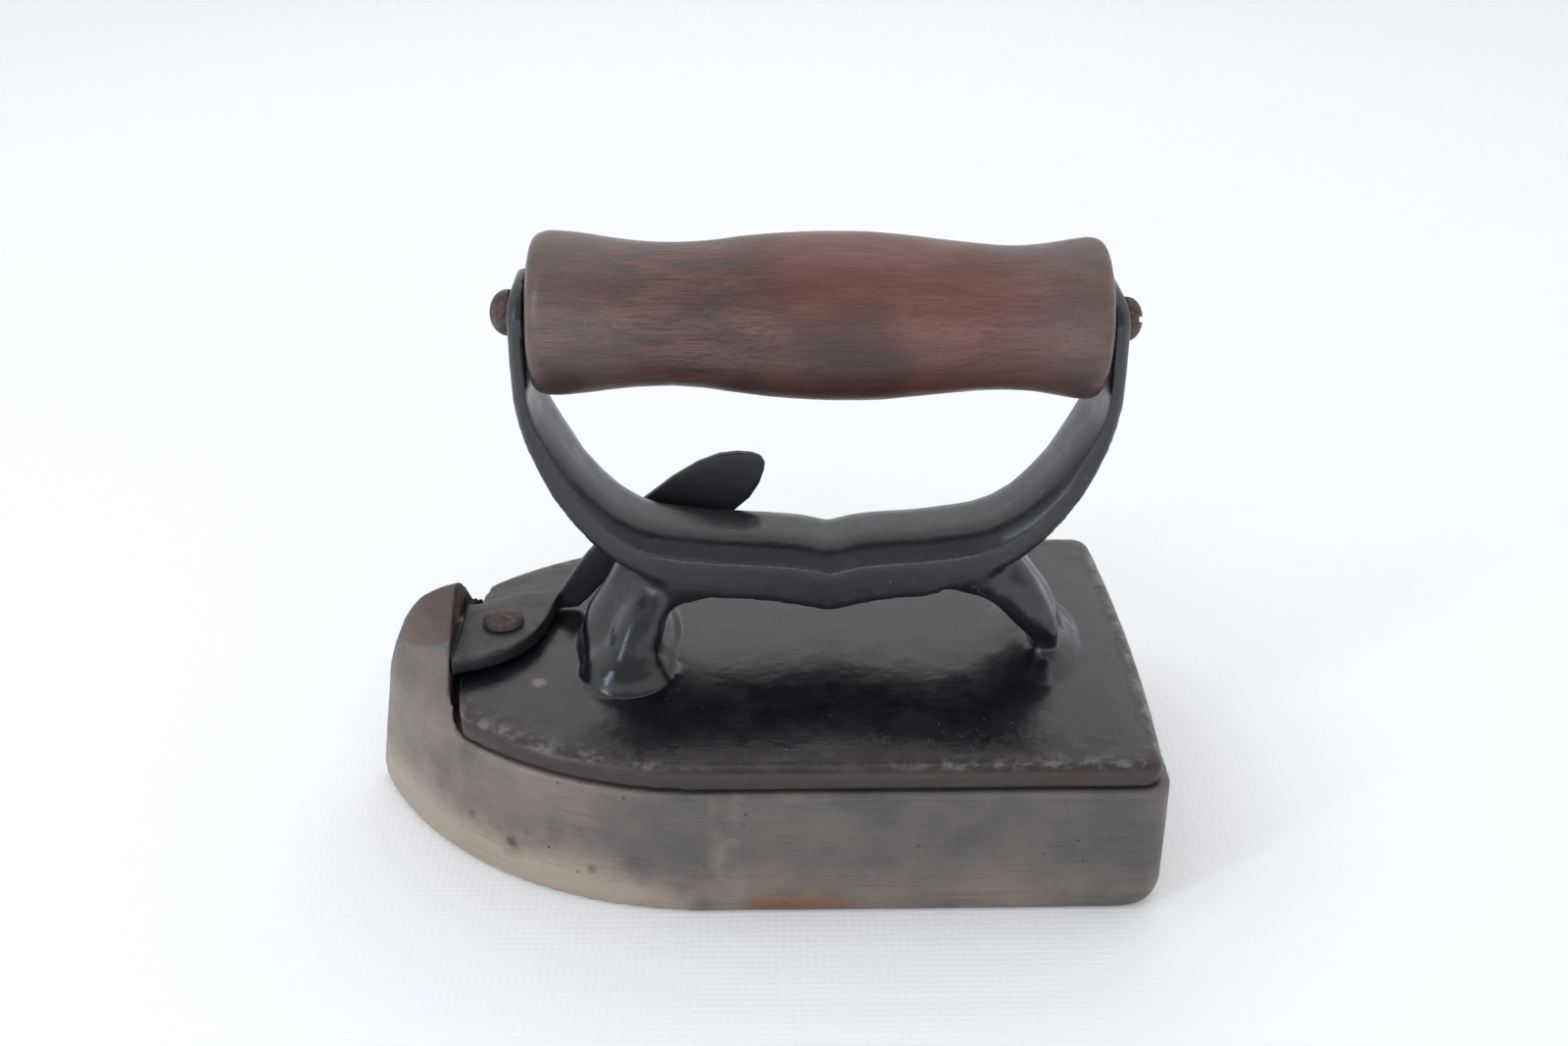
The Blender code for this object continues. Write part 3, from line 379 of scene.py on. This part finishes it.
def paint(shade):
    """A colour as an input takes it, from an sRGB hex value, a colour property or a field."""
    if isinstance(shade, Field):
        return shade
    return (*(linear(shade) if isinstance(shade, str) else shade), 1)


def coat(base, over, mask):
    """Lay one colour over another as far as a mask says."""
    return add(mask.tree, "Mix", {"data_type": "RGBA"}, {0: mask, 6: paint(base), 7: paint(over)})[2]


def start_material(name):
    """A new material, and its Object coordinates in millimetres, whole and split."""
    made = bpy.data.materials.new(name)
    made.use_nodes = True
    tree = made.node_tree
    place = add(tree, "TexCoord", {}, {})["Object"]
    mm = add(tree, "VectorMath", {"operation": "SCALE"}, {"Vector": place, "Scale": MM_PER_M})["Vector"]
    return made, mm, add(tree, "SeparateXYZ", {}, {"Vector": mm})


def cloud(place, size, detail=3.0, roughness=0.55, stretch=(1, 1, 1)):
    """Noise whose main lumps are about one size in mm, pulled out along the axes by a stretch."""
    if stretch != (1, 1, 1):
        place = add(place.tree, "Mapping", {}, {"Vector": place, "Scale": stretch})["Vector"]
    return add(place.tree, "TexNoise", {}, {"Vector": place, "Scale": 1 / size, "Detail": detail,
                                            "Roughness": roughness})["Fac"]


def scatter(place, spacing):
    """Distance from points scattered about one spacing apart in mm, as a share of the spacing."""
    return add(place.tree, "TexVoronoi", {}, {"Vector": place, "Scale": 1 / spacing})["Distance"]


def spot(place, centre, radius, ragged):
    """A soft round spot about a point, in mm, whose rim wanders by the ragged width."""
    away = add(place.tree, "VectorMath", {"operation": "DISTANCE"}, {0: place, 1: centre})["Value"]
    away = away + (cloud(place, radius * 0.6, 4) - 0.5) * ragged
    return away.ease(radius, radius * 0.35)


def hollow(axis, shallow, deep):
    """A mask that is 1 further in from the iron's pointed outline than deep, in mm."""
    along = (axis["X"] + SIDE_CENTRE_X).maths("MINIMUM", 0.0)
    across = axis["Y"].maths("ABSOLUTE") + SIDE_CENTRE_Y
    reach = (along * along + across * across).maths("SQRT")
    side = (SIDE_RADIUS - reach).ease(shallow, deep)
    heel = (HEEL_X - axis["X"]).ease(shallow, deep)
    return side * heel * axis["Z"].ease(0.8, 1.6)


def dress(made, base, metallic, roughness, height, depth):
    """Give a material its colour, metal, roughness and relief of a depth in mm; gives its shader."""
    tree = made.node_tree
    shader = tree.nodes["Principled BSDF"]
    relief = add(tree, "Bump", {}, {"Strength": 1.0, "Distance": depth / MM_PER_M, "Height": height})
    feed(shader.inputs["Base Color"], paint(base))
    feed(shader.inputs["Metallic"], metallic)
    feed(shader.inputs["Roughness"], roughness)
    feed(shader.inputs["Normal"], relief["Normal"])
    return shader


def ground_cast_iron(tints):
    """Grey cast iron, its sides ground along the length: satin grey-brown, heat tinted straw at the nose."""
    made, mm, axis = start_material("ground_cast_iron")
    lumps = cloud(mm, 22, 5, 0.6)
    # Grinding marks run round the sides, so they change fast with height and slowly along
    scratches = cloud(mm, 1.0, 2, 0.6, (0.05, 0.05, 1.6))
    smear = cloud(mm, 8, 6, 0.65, (0.6, 0.6, 1.0))
    base = coat("#5d5a59", tints.ground_iron, lumps.ease(0.35, 0.68))
    base = coat(base, "#58575a", smear.ease(0.5, 0.72) * 0.6)
    # Straw tint where the iron ran hottest, at the nose and low on the side
    tint = axis["X"].ease(-8, -62) * 0.36 + axis["Z"].ease(17, 2) * 0.95
    tint = tint * cloud(mm, 16, 4).ease(0.25, 0.55)
    tint = tint * axis["X"].ease(10, -35, 0.22, 1.0) * axis["Z"].ease(36, 28, 0.35, 1.0)
    base = coat(base, tints.straw, tint)
    # The hook above its slanting fold is browner and darker
    fold = axis["Z"] - (axis["X"] * FOLD_SLOPE + FOLD_HEIGHT)
    above = fold.ease(-0.5, 0.5)
    base = coat(base, "#5f534f", above * 0.85)
    # Below the fold, the ground flat on the hook's near side is found by the way it faces and painted bluer:
    # its grey ground iron with a painted reflection of the cool light on it
    surface = add(mm.tree, "NewGeometry", {}, {})
    flat = add(mm.tree, "VectorMath", {"operation": "DOT_PRODUCT"}, {0: surface["Normal"], 1: FLAT_NORMAL})
    flat = flat["Value"].ease(0.955, 0.975) * axis["Z"].ease(33, 35) * (1.0 - above)
    base = coat(base, "#64696a", flat * 0.8)
    # A pale rubbed patch across the side, rust by the sole and three dark stains
    patch = axis["X"].ease(-11, -6) * axis["X"].ease(-1, -4) * cloud(mm, 10, 3).ease(0.35, 0.6)
    base = coat(base, "#8f887f", patch * 0.55)
    rust = spot(mm, (9, -51, 0), 17, 12) * axis["Z"].ease(8, 1)
    base = coat(base, "#87583a", rust * 0.7)
    stains = spot(mm, (-51.7, -40.3, 10), 2.6, 2.4) | spot(mm, (-61.0, -33.8, 13), 1.9, 1.8)
    stains = stains | spot(mm, (-34, -48, 9), 1.8, 1.5) * 0.7
    base = coat(base, "#40423b", stains * 0.75)
    # Small rust pits, and the grinding marks
    pits = scatter(mm, 3.4).ease(0.13, 0.06) * cloud(mm, 12, 2).ease(0.5, 0.62)
    base = coat(base, "#2f2a27", pits * 0.8)
    base = coat(base, "#3d3a38", scratches.ease(0.5, 0.75) * 0.22)
    # Rubbed corners are bright; soot and rust coat the hollow. The hook's rear wall in the nose's undercut
    # gets the same dark rust, there partly painted shade
    edge = surface["Pointiness"].ease(0.53, 0.60) * cloud(mm, 5, 3).ease(0.4, 0.6)
    base = coat(base, tints.burnish_and_highlight, edge * 0.5)
    facing = add(mm.tree, "SeparateXYZ", {}, {"Vector": surface["Normal"]})
    wall = facing["X"].ease(0.5, 0.8) * (axis["X"].ease(-50, -58) * axis["Z"].ease(27, 29))
    soot_and_shade = wall | hollow(axis, 5.6, 6.2) * axis["X"].ease(-66.5, -64.5)
    base = coat(base, coat("#1f1c1b", "#4a3a32", cloud(mm, 4, 4).ease(0.35, 0.65)), soot_and_shade)
    metallic = (1.0 - soot_and_shade) * lumps.ease(0.3, 0.7, 0.75, 0.5)
    roughness = smear.ease(0.3, 0.7, 0.40, 0.55) + soot_and_shade * 0.3
    height = scratches * 0.5 + cloud(mm, 0.7, 3) * 0.6 - pits * 0.8
    dress(made, base, metallic, roughness, height, 0.10)
    return made


def black_japanned_iron(tints):
    """Cast iron with a baked black varnish: deep bluish gloss, dusty, rubbed to brown metal at its rims."""
    made, mm, axis = start_material("black_japanned_iron")
    base = coat(tints.japan, "#13161b", cloud(mm, 9, 4).ease(0.35, 0.7))
    base = coat(base, "#1c1e22", axis["Z"].ease(42, 50))
    # The plate's far half, up to the seam along its middle, is painted a little lighter: a painted reflection
    # of the bright backdrop
    far = axis["Y"].ease(-0.4, 0.3) * axis["Z"].ease(38.5, 37.5) * axis["X"].ease(-10, 30, 0.0, 0.08)
    base = coat(base, "#2c2e30", far)
    # The rim of the lid plate has lost its black in tongues that reach in from the edge
    worn_edge = axis["Z"] + (cloud(mm, 9, 5, 0.65) - 0.5) * 1.1
    rim = worn_edge.ease(35.32, 35.16)
    brown = coat(tints.worn_iron, "#3f3633", cloud(mm, 6, 4).ease(0.35, 0.65))
    base = coat(base, brown, rim)
    # Its outer corners are rubbed too
    surface = add(mm.tree, "NewGeometry", {}, {})
    rubbed = surface["Pointiness"].ease(0.535, 0.60) * cloud(mm, 3, 4, 0.7).ease(0.42, 0.6) * 0.5
    base = coat(base, tints.worn_iron, rubbed)
    # Bright streaks along the rim's shoulder on the long side: rubbed metal with a painted highlight along it
    streak = axis["Z"].ease(33.7, 34.5) * axis["Z"].ease(35.3, 34.9)
    streak = streak * cloud(mm, 2.2, 5, 0.75, (0.5, 0.5, 1)).ease(0.44, 0.62)
    ends = axis["X"].ease(22, 46) | axis["X"].ease(-12, -26)
    base = coat(base, tints.burnish_and_highlight, streak * (ends * 0.45 + 0.15))
    # Dust specks, and one tan stain by the latch
    dust = scatter(mm, 2.6).ease(0.085, 0.05) * cloud(mm, 14, 3).ease(0.50, 0.62)
    base = coat(base, "#8f877a", dust * 0.5)
    base = coat(base, "#8a7659", spot(mm, (-46.2, -17.7, 36), 2.2, 1.8) * 0.6)
    # The flash stands out of the bar's near face and is rubbed pale
    flash = axis["Y"].ease(-11.50, -11.60) * axis["Z"].ease(55, 56)
    base = coat(base, "#6d6863", flash * 0.45)
    bare = rim | rubbed
    # The yoke kept the rough skin of its mould and is duller than the plate
    haze = cloud(mm, 5, 4).ease(0.3, 0.7, 0.17, 0.27) + axis["Z"].ease(40, 52, 0.0, 0.09)
    height = cloud(mm, 1.6, 3) + cloud(mm, 0.5, 2) * 0.3
    shader = dress(made, base, bare * 0.6, haze + bare * 0.14, height, 0.05)
    # Baked linseed varnish over black oxide mirrors a little more than plain varnish
    shader.inputs["IOR"].default_value = 1.57
    return made


def black_forged_iron(tints):
    """A blackened forging, worn to brown-grey on the plate: satin, with soft dents."""
    made, mm, axis = start_material("black_forged_iron")
    surface = add(mm.tree, "NewGeometry", {}, {})
    facing = add(mm.tree, "SeparateXYZ", {}, {"Vector": surface["Normal"]})
    plate = axis["Z"].ease(42.5, 41.2) * facing["Z"].ease(0.45, 0.75)
    worn = plate * cloud(mm, 5, 4).ease(0.28, 0.55)
    base = coat("#1f2124", "#474342", worn)
    rubbed = surface["Pointiness"].ease(0.53, 0.60) * cloud(mm, 2.5, 4).ease(0.45, 0.6)
    base = coat(base, tints.worn_iron, rubbed * 0.5)
    specks = scatter(mm, 2.4).ease(0.16, 0.08) * plate
    base = coat(base, "#171514", specks * 0.8)
    roughness = cloud(mm, 3, 4).ease(0.3, 0.7, 0.36, 0.52)
    height = cloud(mm, 1.2, 3) + specks * -0.5
    dress(made, base, worn * 0.45, roughness, height, 0.08)
    return made


def rusty_steel(tints):
    """Mild steel under old brown rust: matt and mottled, with pits and a few dark scabs."""
    made, mm, _ = start_material("rusty_steel")
    base = coat("#3f322d", tints.rust, cloud(mm, 1.8, 4, 0.65).ease(0.35, 0.65))
    base = coat(base, "#6c5b55", cloud(mm, 0.9, 4).ease(0.5, 0.7) * 0.6)
    roughness = cloud(mm, 1.5, 3).ease(0.3, 0.7, 0.5, 0.72)
    height = cloud(mm, 0.9, 4, 0.65) + cloud(mm, 0.35, 2) * 0.4
    dress(made, base, 0.25, roughness, height, 0.22)
    return made


def fire_scaled_iron():
    """Cast iron scaled by many heatings: grey-black flakes over red-brown, quite matt."""
    made, mm, _ = start_material("fire_scaled_iron")
    flakes = scatter(mm, 4.5) + cloud(mm, 3, 4) * 0.6
    base = coat("#3a3533", "#5b4339", flakes.ease(0.45, 0.9))
    base = coat(base, "#2a2a2c", cloud(mm, 14, 4).ease(0.5, 0.7) * 0.6)
    height = flakes + cloud(mm, 0.8, 3) * 0.5
    dress(made, base, 0.2, flakes.ease(0.4, 0.9, 0.6, 0.85), height, 0.25)
    return made


def dark_hardwood(tints):
    """Turned hardwood, dark with age: fine lengthwise grain, dark streaks and a soft worn sheen, with painted
    shade underneath and a painted sheen at the ends.
    """
    made, mm, axis = start_material("dark_hardwood")
    middle = tuple(-MM_PER_M * along for along in YOKE_CENTRE)
    centred = add(mm.tree, "Mapping", {}, {"Vector": mm, "Location": middle})["Vector"]
    # Growth layers lie nearly flat and long, fibres are hair-fine
    layers = cloud(centred, 1.0, 4, 0.6, (0.045, 0.16, 0.22))
    fibres = cloud(centred, 1.0, 2, 0.7, (0.06, 2.2, 2.2))
    pores = cloud(centred, 1.0, 1, 0.5, (0.18, 4.0, 4.0))
    smudge = cloud(centred, 1.0, 4, 0.6, (0.06, 0.12, 0.12))
    base = coat(tints.wood_dark, tints.wood, layers.ease(0.30, 0.70))
    base = coat(base, "#2f2220", fibres.ease(0.48, 0.66) * 0.48)
    base = coat(base, "#85604f", fibres.ease(0.5, 0.3) * 0.16)
    base = coat(base, "#231918", pores.ease(0.56, 0.66) * 0.6)
    base = coat(base, "#362a28", smudge.ease(0.48, 0.72) * 0.45)
    # Redder wood shows through along the upper rear and low at the rear end; both ends are painted lighter
    # and greyer as a painted sheen
    red = spot(mm, (27, -9, 126), 40, 24) | spot(mm, (50, -15, 104), 20, 16) * 0.7
    base = coat(base, "#7d4534", red * 0.34)
    ends = axis["X"].ease(-12, -34, 0.0, 0.3) | axis["X"].ease(46, 62, 0.0, 0.25)
    base = coat(base, "#74625d", ends)
    # Two darker patches on the near side, and the underside darkened as painted shade
    dark_patches = spot(mm, (20, -17, 108), 18, 15) | spot(mm, (-40, -15, 101), 12, 12)
    base = coat(base, "#2c2120", dark_patches * 0.65)
    base = coat(base, "#2a1f1e", axis["Z"].ease(120, 104, 0.0, 0.32))
    height = fibres * 0.6 - pores.ease(0.55, 0.7) * 0.5
    dress(made, base, 0.0, smudge.ease(0.3, 0.7, 0.27, 0.42), height, 0.06)
    return made


def pale_cloth(tints):
    """Bleached cotton cloth over a board: matt white with a faint plain weave."""
    made, mm, _ = start_material("pale_cloth")
    # Threads are 0.5 mm; a scale of 0.2 draws them at 1.6 mm, the finest that still shows this far away
    across, along = (add(mm.tree, "TexWave", {"bands_direction": way},
                         {"Vector": mm, "Scale": 0.2, "Distortion": 1.5, "Detail": 1.0})["Fac"]
                     for way in "XY")
    shader = dress(made, tints.cloth, 0.0, 0.95, across * along, 0.05)
    shader.inputs["Specular IOR Level"].default_value = 0.1
    return made


class SLUG_IRON_OT_body(bpy.types.Operator):
    """Sole box with its nose hook, ground on the outside and sooty within"""
    bl_idname = "slug_iron.body"
    bl_label = "Sole box"

    def execute(self, context):
        sizes, tints = context.scene.iron_sizes, context.scene.iron_colours
        piece = casting("body", "sole_box", sizes.box_skin, 2)
        roughen(piece, "body_dents", BODY_DENT, sizes.casting_grain * 1.6)
        roughen(piece, "body_grain", BODY_GRAIN, sizes.casting_grain * 0.6)
        mount(piece, "body", "ground_cast_iron", ground_cast_iron(tints), "body")
        return {"FINISHED"}


class SLUG_IRON_OT_slug(bpy.types.Operator):
    """Loose heating slug, flaked by the fire"""
    bl_idname = "slug_iron.slug"
    bl_label = "Heating slug"

    def execute(self, context):
        sizes = context.scene.iron_sizes
        piece = casting("slug", "heating_slug", sizes.box_skin * 1.2, 4)
        roughen(piece, "slug_scale", SLUG_SCALE, sizes.casting_grain * 3)
        mount(piece, "slug", "fire_scaled_iron", fire_scaled_iron(), "slug")
        return {"FINISHED"}


class SLUG_IRON_OT_lid(bpy.types.Operator):
    """Lid, legs and handle yoke, one japanned casting with mould flash along its bar"""
    bl_idname = "slug_iron.lid"
    bl_label = "Lid and yoke"

    def execute(self, context):
        sizes, tints = context.scene.iron_sizes, context.scene.iron_colours
        piece = casting("lid", "lid_and_yoke", sizes.lid_skin, 2, LEG_SWELLINGS)
        soften(piece, self.inside_yoke, 14)
        soften(piece, self.round_legs, 45)
        roughen(piece, "lid_dents", LID_DENT, sizes.casting_grain * 1.2)
        roughen(piece, "lid_grain", LID_GRAIN, sizes.casting_grain * 0.6)
        flash = self.flash(sizes.flash_radius)
        pick(piece)
        flash.select_set(True)
        bpy.ops.object.join()
        mount(piece, "lid", "black_japanned_iron", black_japanned_iron(tints), "lid")
        return {"FINISHED"}

    def inside_yoke(self, vertex):
        """Whether a vertex is on the yoke's inner side, between its two flat faces."""
        low, high = YOKE_SOFT_RANGE
        inwards = YOKE_CENTRE - vertex.co
        inwards.y = 0
        return (low < vertex.co.z < high and abs(vertex.co.y) < -BAR_NEAR_FACE - YOKE_ARRIS
                and vertex.normal.dot(inwards.normalized()) > 0.1)

    def round_legs(self, vertex):
        """Whether a vertex is on the near side of a leg or of the saucer round its foot."""
        low, high = LEG_HEIGHTS
        place = vertex.co
        return (low < place.z < high and place.y < LEG_LIMIT_Y
                and any(front < place.x < rear for front, rear in LEG_SPANS))

    def flash(self, radius):
        """The rough thin ridge that the mould's joint left on the bar's near top edge."""
        line = bpy.data.curves.new("mould_flash", "CURVE")
        line.dimensions = "3D"
        line.bevel_depth = radius
        line.bevel_resolution = 2
        line.use_fill_caps = True
        spline = line.splines.new("POLY")
        places = []
        for (x, z), (next_x, next_z) in zip(FLASH_LINE, FLASH_LINE[1:]):
            steps = max(2, round((next_x - x) / FLASH_STEP))
            places += [(x + (next_x - x) * i / steps, z + (next_z - z) * i / steps) for i in range(steps)]
        spline.points.add(len(places) - 1)
        for point, (x, z) in zip(spline.points, places):
            wander = noise.noise(Vector((x * 0.9, z, 0)))
            # The ridge's middle lies just behind the bar's face and just under its edge
            point.co = (x / MM_PER_M, BAR_NEAR_FACE + 0.00002 + 0.0001 * wander, z / MM_PER_M - 0.0001, 1)
            point.radius = 0.75 + 0.8 * noise.noise(Vector((x * 1.7, 5, z)))
        ridge = bpy.data.objects.new("mould_flash", line)
        bpy.context.collection.objects.link(ridge)
        pick(ridge)
        bpy.ops.object.convert(target="MESH")
        return ridge


class SLUG_IRON_OT_latch(bpy.types.Operator):
    """Latch lever: a worn plate that turns up into a thumb leaf"""
    bl_idname = "slug_iron.latch"
    bl_label = "Latch lever"

    def execute(self, context):
        sizes, tints = context.scene.iron_sizes, context.scene.iron_colours
        piece = casting("latch_lever", "latch", sizes.lever_skin, 4)
        roughen(piece, "latch_dents", LEVER_DENT, sizes.casting_grain * 1.2)
        mount(piece, "latch", "black_forged_iron", black_forged_iron(tints), "latch_lever")
        return {"FINISHED"}


class SLUG_IRON_OT_grip(bpy.types.Operator):
    """Turned hardwood grip on its rod"""
    bl_idname = "slug_iron.grip"
    bl_label = "Grip"

    def execute(self, context):
        sizes, tints = context.scene.iron_sizes, context.scene.iron_colours
        belly = sizes.belly_diameter / 2
        outside = [(GRIP_END * along, belly * radius) for along, radius in smooth_run(GRIP_PROFILE, 5)]
        profile = [(-GRIP_END, GRIP_BORE)] + outside + [(GRIP_END, GRIP_BORE), (-GRIP_END, GRIP_BORE)]
        piece = lathe("turned_grip", profile, 128)
        lay_along_grip(piece)
        roughen(piece, "grip_dents", GRIP_DENT, 0.00022)
        roughen(piece, "grip_nicks", GRIP_NICK, 0.00012)
        pick(piece)
        bpy.ops.object.shade_smooth_by_angle(angle=GRIP_SMOOTH_ANGLE)
        mount(piece, "lid", "dark_hardwood", dark_hardwood(tints), "grip")
        return {"FINISHED"}


class SLUG_IRON_OT_rod(bpy.types.Operator):
    """Grip rod with its domed head, and the slotted nut"""
    bl_idname = "slug_iron.rod"
    bl_label = "Rod and nut"

    def execute(self, context):
        sizes, tints = context.scene.iron_sizes, context.scene.iron_colours
        finish = rusty_steel(tints)
        face = -YOKE_HALF_SPAN - SEAT_GAP
        head = dome(face, ROD_HEAD_HEIGHT, sizes.rod_head_radius, -1)[::-1]
        shank = [(face, ROD_RADIUS), (YOKE_HALF_SPAN - TENON_SHOULDER, ROD_RADIUS),
                 (YOKE_HALF_SPAN, TENON_RADIUS), (YOKE_HALF_SPAN + TENON_REACH, TENON_RADIUS)]
        rod = lathe("grip_rod_forged", head + shank, 32)
        roughen(rod, "rod_dents", ROD_DENT, 0.00015)
        lay_along_grip(rod)
        mount(rod, "lid", "rusty_steel", finish, "grip_rod")

        face = YOKE_HALF_SPAN + SEAT_GAP
        nut = lathe("slotted_nut", dome(face, NUT_HEIGHT, sizes.nut_radius, 1), 32)
        bpy.ops.object.select_all(action="DESELECT")
        bpy.ops.mesh.primitive_cube_add(size=1, location=(0, 0, face + SLOT_MIDDLE),
                                        scale=(sizes.nut_slot, *SLOT_CUTTER))
        slot = bpy.context.object
        slot.rotation_euler.z = SLOT_TURN
        settle(slot)
        apply_modifier(nut, "BOOLEAN", object=slot, operation="DIFFERENCE", solver="EXACT")
        bpy.data.objects.remove(slot)
        lay_along_grip(nut)
        mount(nut, "lid", "rusty_steel", finish, "cap_nut")
        return {"FINISHED"}


class SLUG_IRON_OT_rivet(bpy.types.Operator):
    """Latch rivet and the washer it is peened over"""
    bl_idname = "slug_iron.rivet"
    bl_label = "Rivet and washer"

    def execute(self, context):
        sizes, tints = context.scene.iron_sizes, context.scene.iron_colours
        finish = rusty_steel(tints)
        base = LATCH_TOP + SEAT_GAP
        head = dome(base, RIVET_HEAD_HEIGHT, sizes.rivet_radius, 1)[::-1]
        rivet = lathe("rivet", head + [(base, RIVET_SHANK), *RIVET_TAIL], 32)
        roughen(rivet, "rivet_dents", RIVET_DENT, 0.00025)
        rivet.location.x = RIVET_X
        settle(rivet)
        mount(rivet, "lid", "rusty_steel", finish, "latch_rivet")
        # The washer stays as the CAD has it
        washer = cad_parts["rivet_washer"]
        washer.data.materials.clear()
        washer.data.materials.append(finish)
        return {"FINISHED"}


class SLUG_IRON_OT_stage(bpy.types.Operator):
    """Pale cloth that sweeps up all round, soft daylight and the camera"""
    bl_idname = "slug_iron.stage"
    bl_label = "Stage"

    def execute(self, context):
        tints = context.scene.iron_colours
        self.sweep(pale_cloth(tints))
        self.lamps()
        self.sky()
        self.camera()
        context.scene.view_settings.view_transform = "Standard"
        return {"FINISHED"}

    def sweep(self, finish):
        """A round floor whose rim turns up into a low white backdrop."""
        bpy.ops.object.select_all(action="DESELECT")
        bpy.ops.mesh.primitive_circle_add(vertices=96, radius=FLOOR_RADIUS, fill_type="NGON")
        floor = bpy.context.object
        floor.name = "cloth_sweep"
        bpy.ops.object.mode_set(mode="EDIT")
        bpy.ops.mesh.select_all(action="SELECT")
        radius, height = FLOOR_RADIUS, 0.0
        for i in range(1, 9):
            angle = math.pi / 2 * i / 8
            wider = FLOOR_RADIUS + SWEEP_RADIUS * math.sin(angle)
            rise = SWEEP_RADIUS * (1 - math.cos(angle))
            bpy.ops.mesh.extrude_edges_move(TRANSFORM_OT_translate={"value": (0, 0, rise - height)})
            bpy.ops.transform.resize(value=(wider / radius, wider / radius, 1), center_override=(0, 0, rise))
            radius, height = wider, rise
        bpy.ops.mesh.extrude_edges_move(TRANSFORM_OT_translate={"value": (0, 0, BACKDROP_HEIGHT)})
        bpy.ops.object.mode_set(mode="OBJECT")
        floor.data.shade_smooth()
        floor.data.materials.append(finish)

    def lamps(self):
        """A tall window at the left, a soft glow from the near side, and broad lights overhead and behind."""
        for name, place, width, height, power, tone, mirrored in LAMPS:
            light = bpy.data.lights.new(name, "AREA")
            light.shape = "RECTANGLE"
            light.size = width
            light.size_y = height
            light.energy = power
            light.color = linear(tone)
            lamp = bpy.data.objects.new(name, light)
            bpy.context.collection.objects.link(lamp)
            lamp.location = place
            lamp.visible_camera = False
            lamp.visible_glossy = mirrored
            lamp.rotation_euler = (LAMP_AIM - lamp.location).to_track_quat("-Z", "Y").to_euler()

    def sky(self):
        """A pale room, white behind the iron and dimmer overhead and behind the camera."""
        world = bpy.data.worlds.new("pale_room")
        bpy.context.scene.world = world
        world.use_nodes = True
        tree = world.node_tree
        way = add(tree, "SeparateXYZ", {}, {"Vector": add(tree, "TexCoord", {}, {})["Generated"]})
        dim = way["Z"].ease(0.82, 0.98, 0.0, 0.75) | way["Y"].ease(0.05, -0.45, 0.0, 0.60)
        light = tree.nodes["Background"]
        feed(light.inputs["Color"], coat("#fdfeff", "#4b4d51", dim))
        light.inputs["Strength"].default_value = 1.1

    def camera(self):
        """The photograph's view: about 43 cm away and 27 degrees above."""
        view = bpy.data.cameras.new("view")
        view.lens = LENS
        view.sensor_width = 36
        view.clip_start = 0.01
        eye = bpy.data.objects.new("view", view)
        bpy.context.collection.objects.link(eye)
        eye.location = EYE
        eye.rotation_euler = (EYE_TILT, 0, EYE_TURN)
        bpy.context.scene.camera = eye


OPERATORS = (SLUG_IRON_OT_body, SLUG_IRON_OT_slug, SLUG_IRON_OT_lid, SLUG_IRON_OT_latch,
             SLUG_IRON_OT_grip, SLUG_IRON_OT_rod, SLUG_IRON_OT_rivet, SLUG_IRON_OT_stage)


class SLUG_IRON_PT_panel(bpy.types.Panel):
    """Steps that build the iron, with its sizes and colours"""
    bl_idname = "SLUG_IRON_PT_panel"
    bl_label = "Slug iron"
    bl_space_type = "VIEW_3D"
    bl_region_type = "UI"
    bl_category = "Slug iron"

    def draw(self, context):
        for operator in OPERATORS:
            self.layout.operator(operator.bl_idname)
        for group in (context.scene.iron_sizes, context.scene.iron_colours):
            box = self.layout.box()
            for name in group.__annotations__:
                box.prop(group, name)


CLASSES = (IronSizes, IronColours) + OPERATORS + (SLUG_IRON_PT_panel,)


def register():
    for made in CLASSES:
        bpy.utils.register_class(made)
    bpy.types.Scene.iron_sizes = PointerProperty(type=IronSizes)
    bpy.types.Scene.iron_colours = PointerProperty(type=IronColours)


def unregister():
    del bpy.types.Scene.iron_sizes
    del bpy.types.Scene.iron_colours
    for made in reversed(CLASSES):
        bpy.utils.unregister_class(made)


def main():
    register()
    for step in ("body", "slug", "lid", "latch", "grip", "rod", "rivet", "stage"):
        getattr(bpy.ops.slug_iron, step)()


if __name__ == "__main__":
    main()
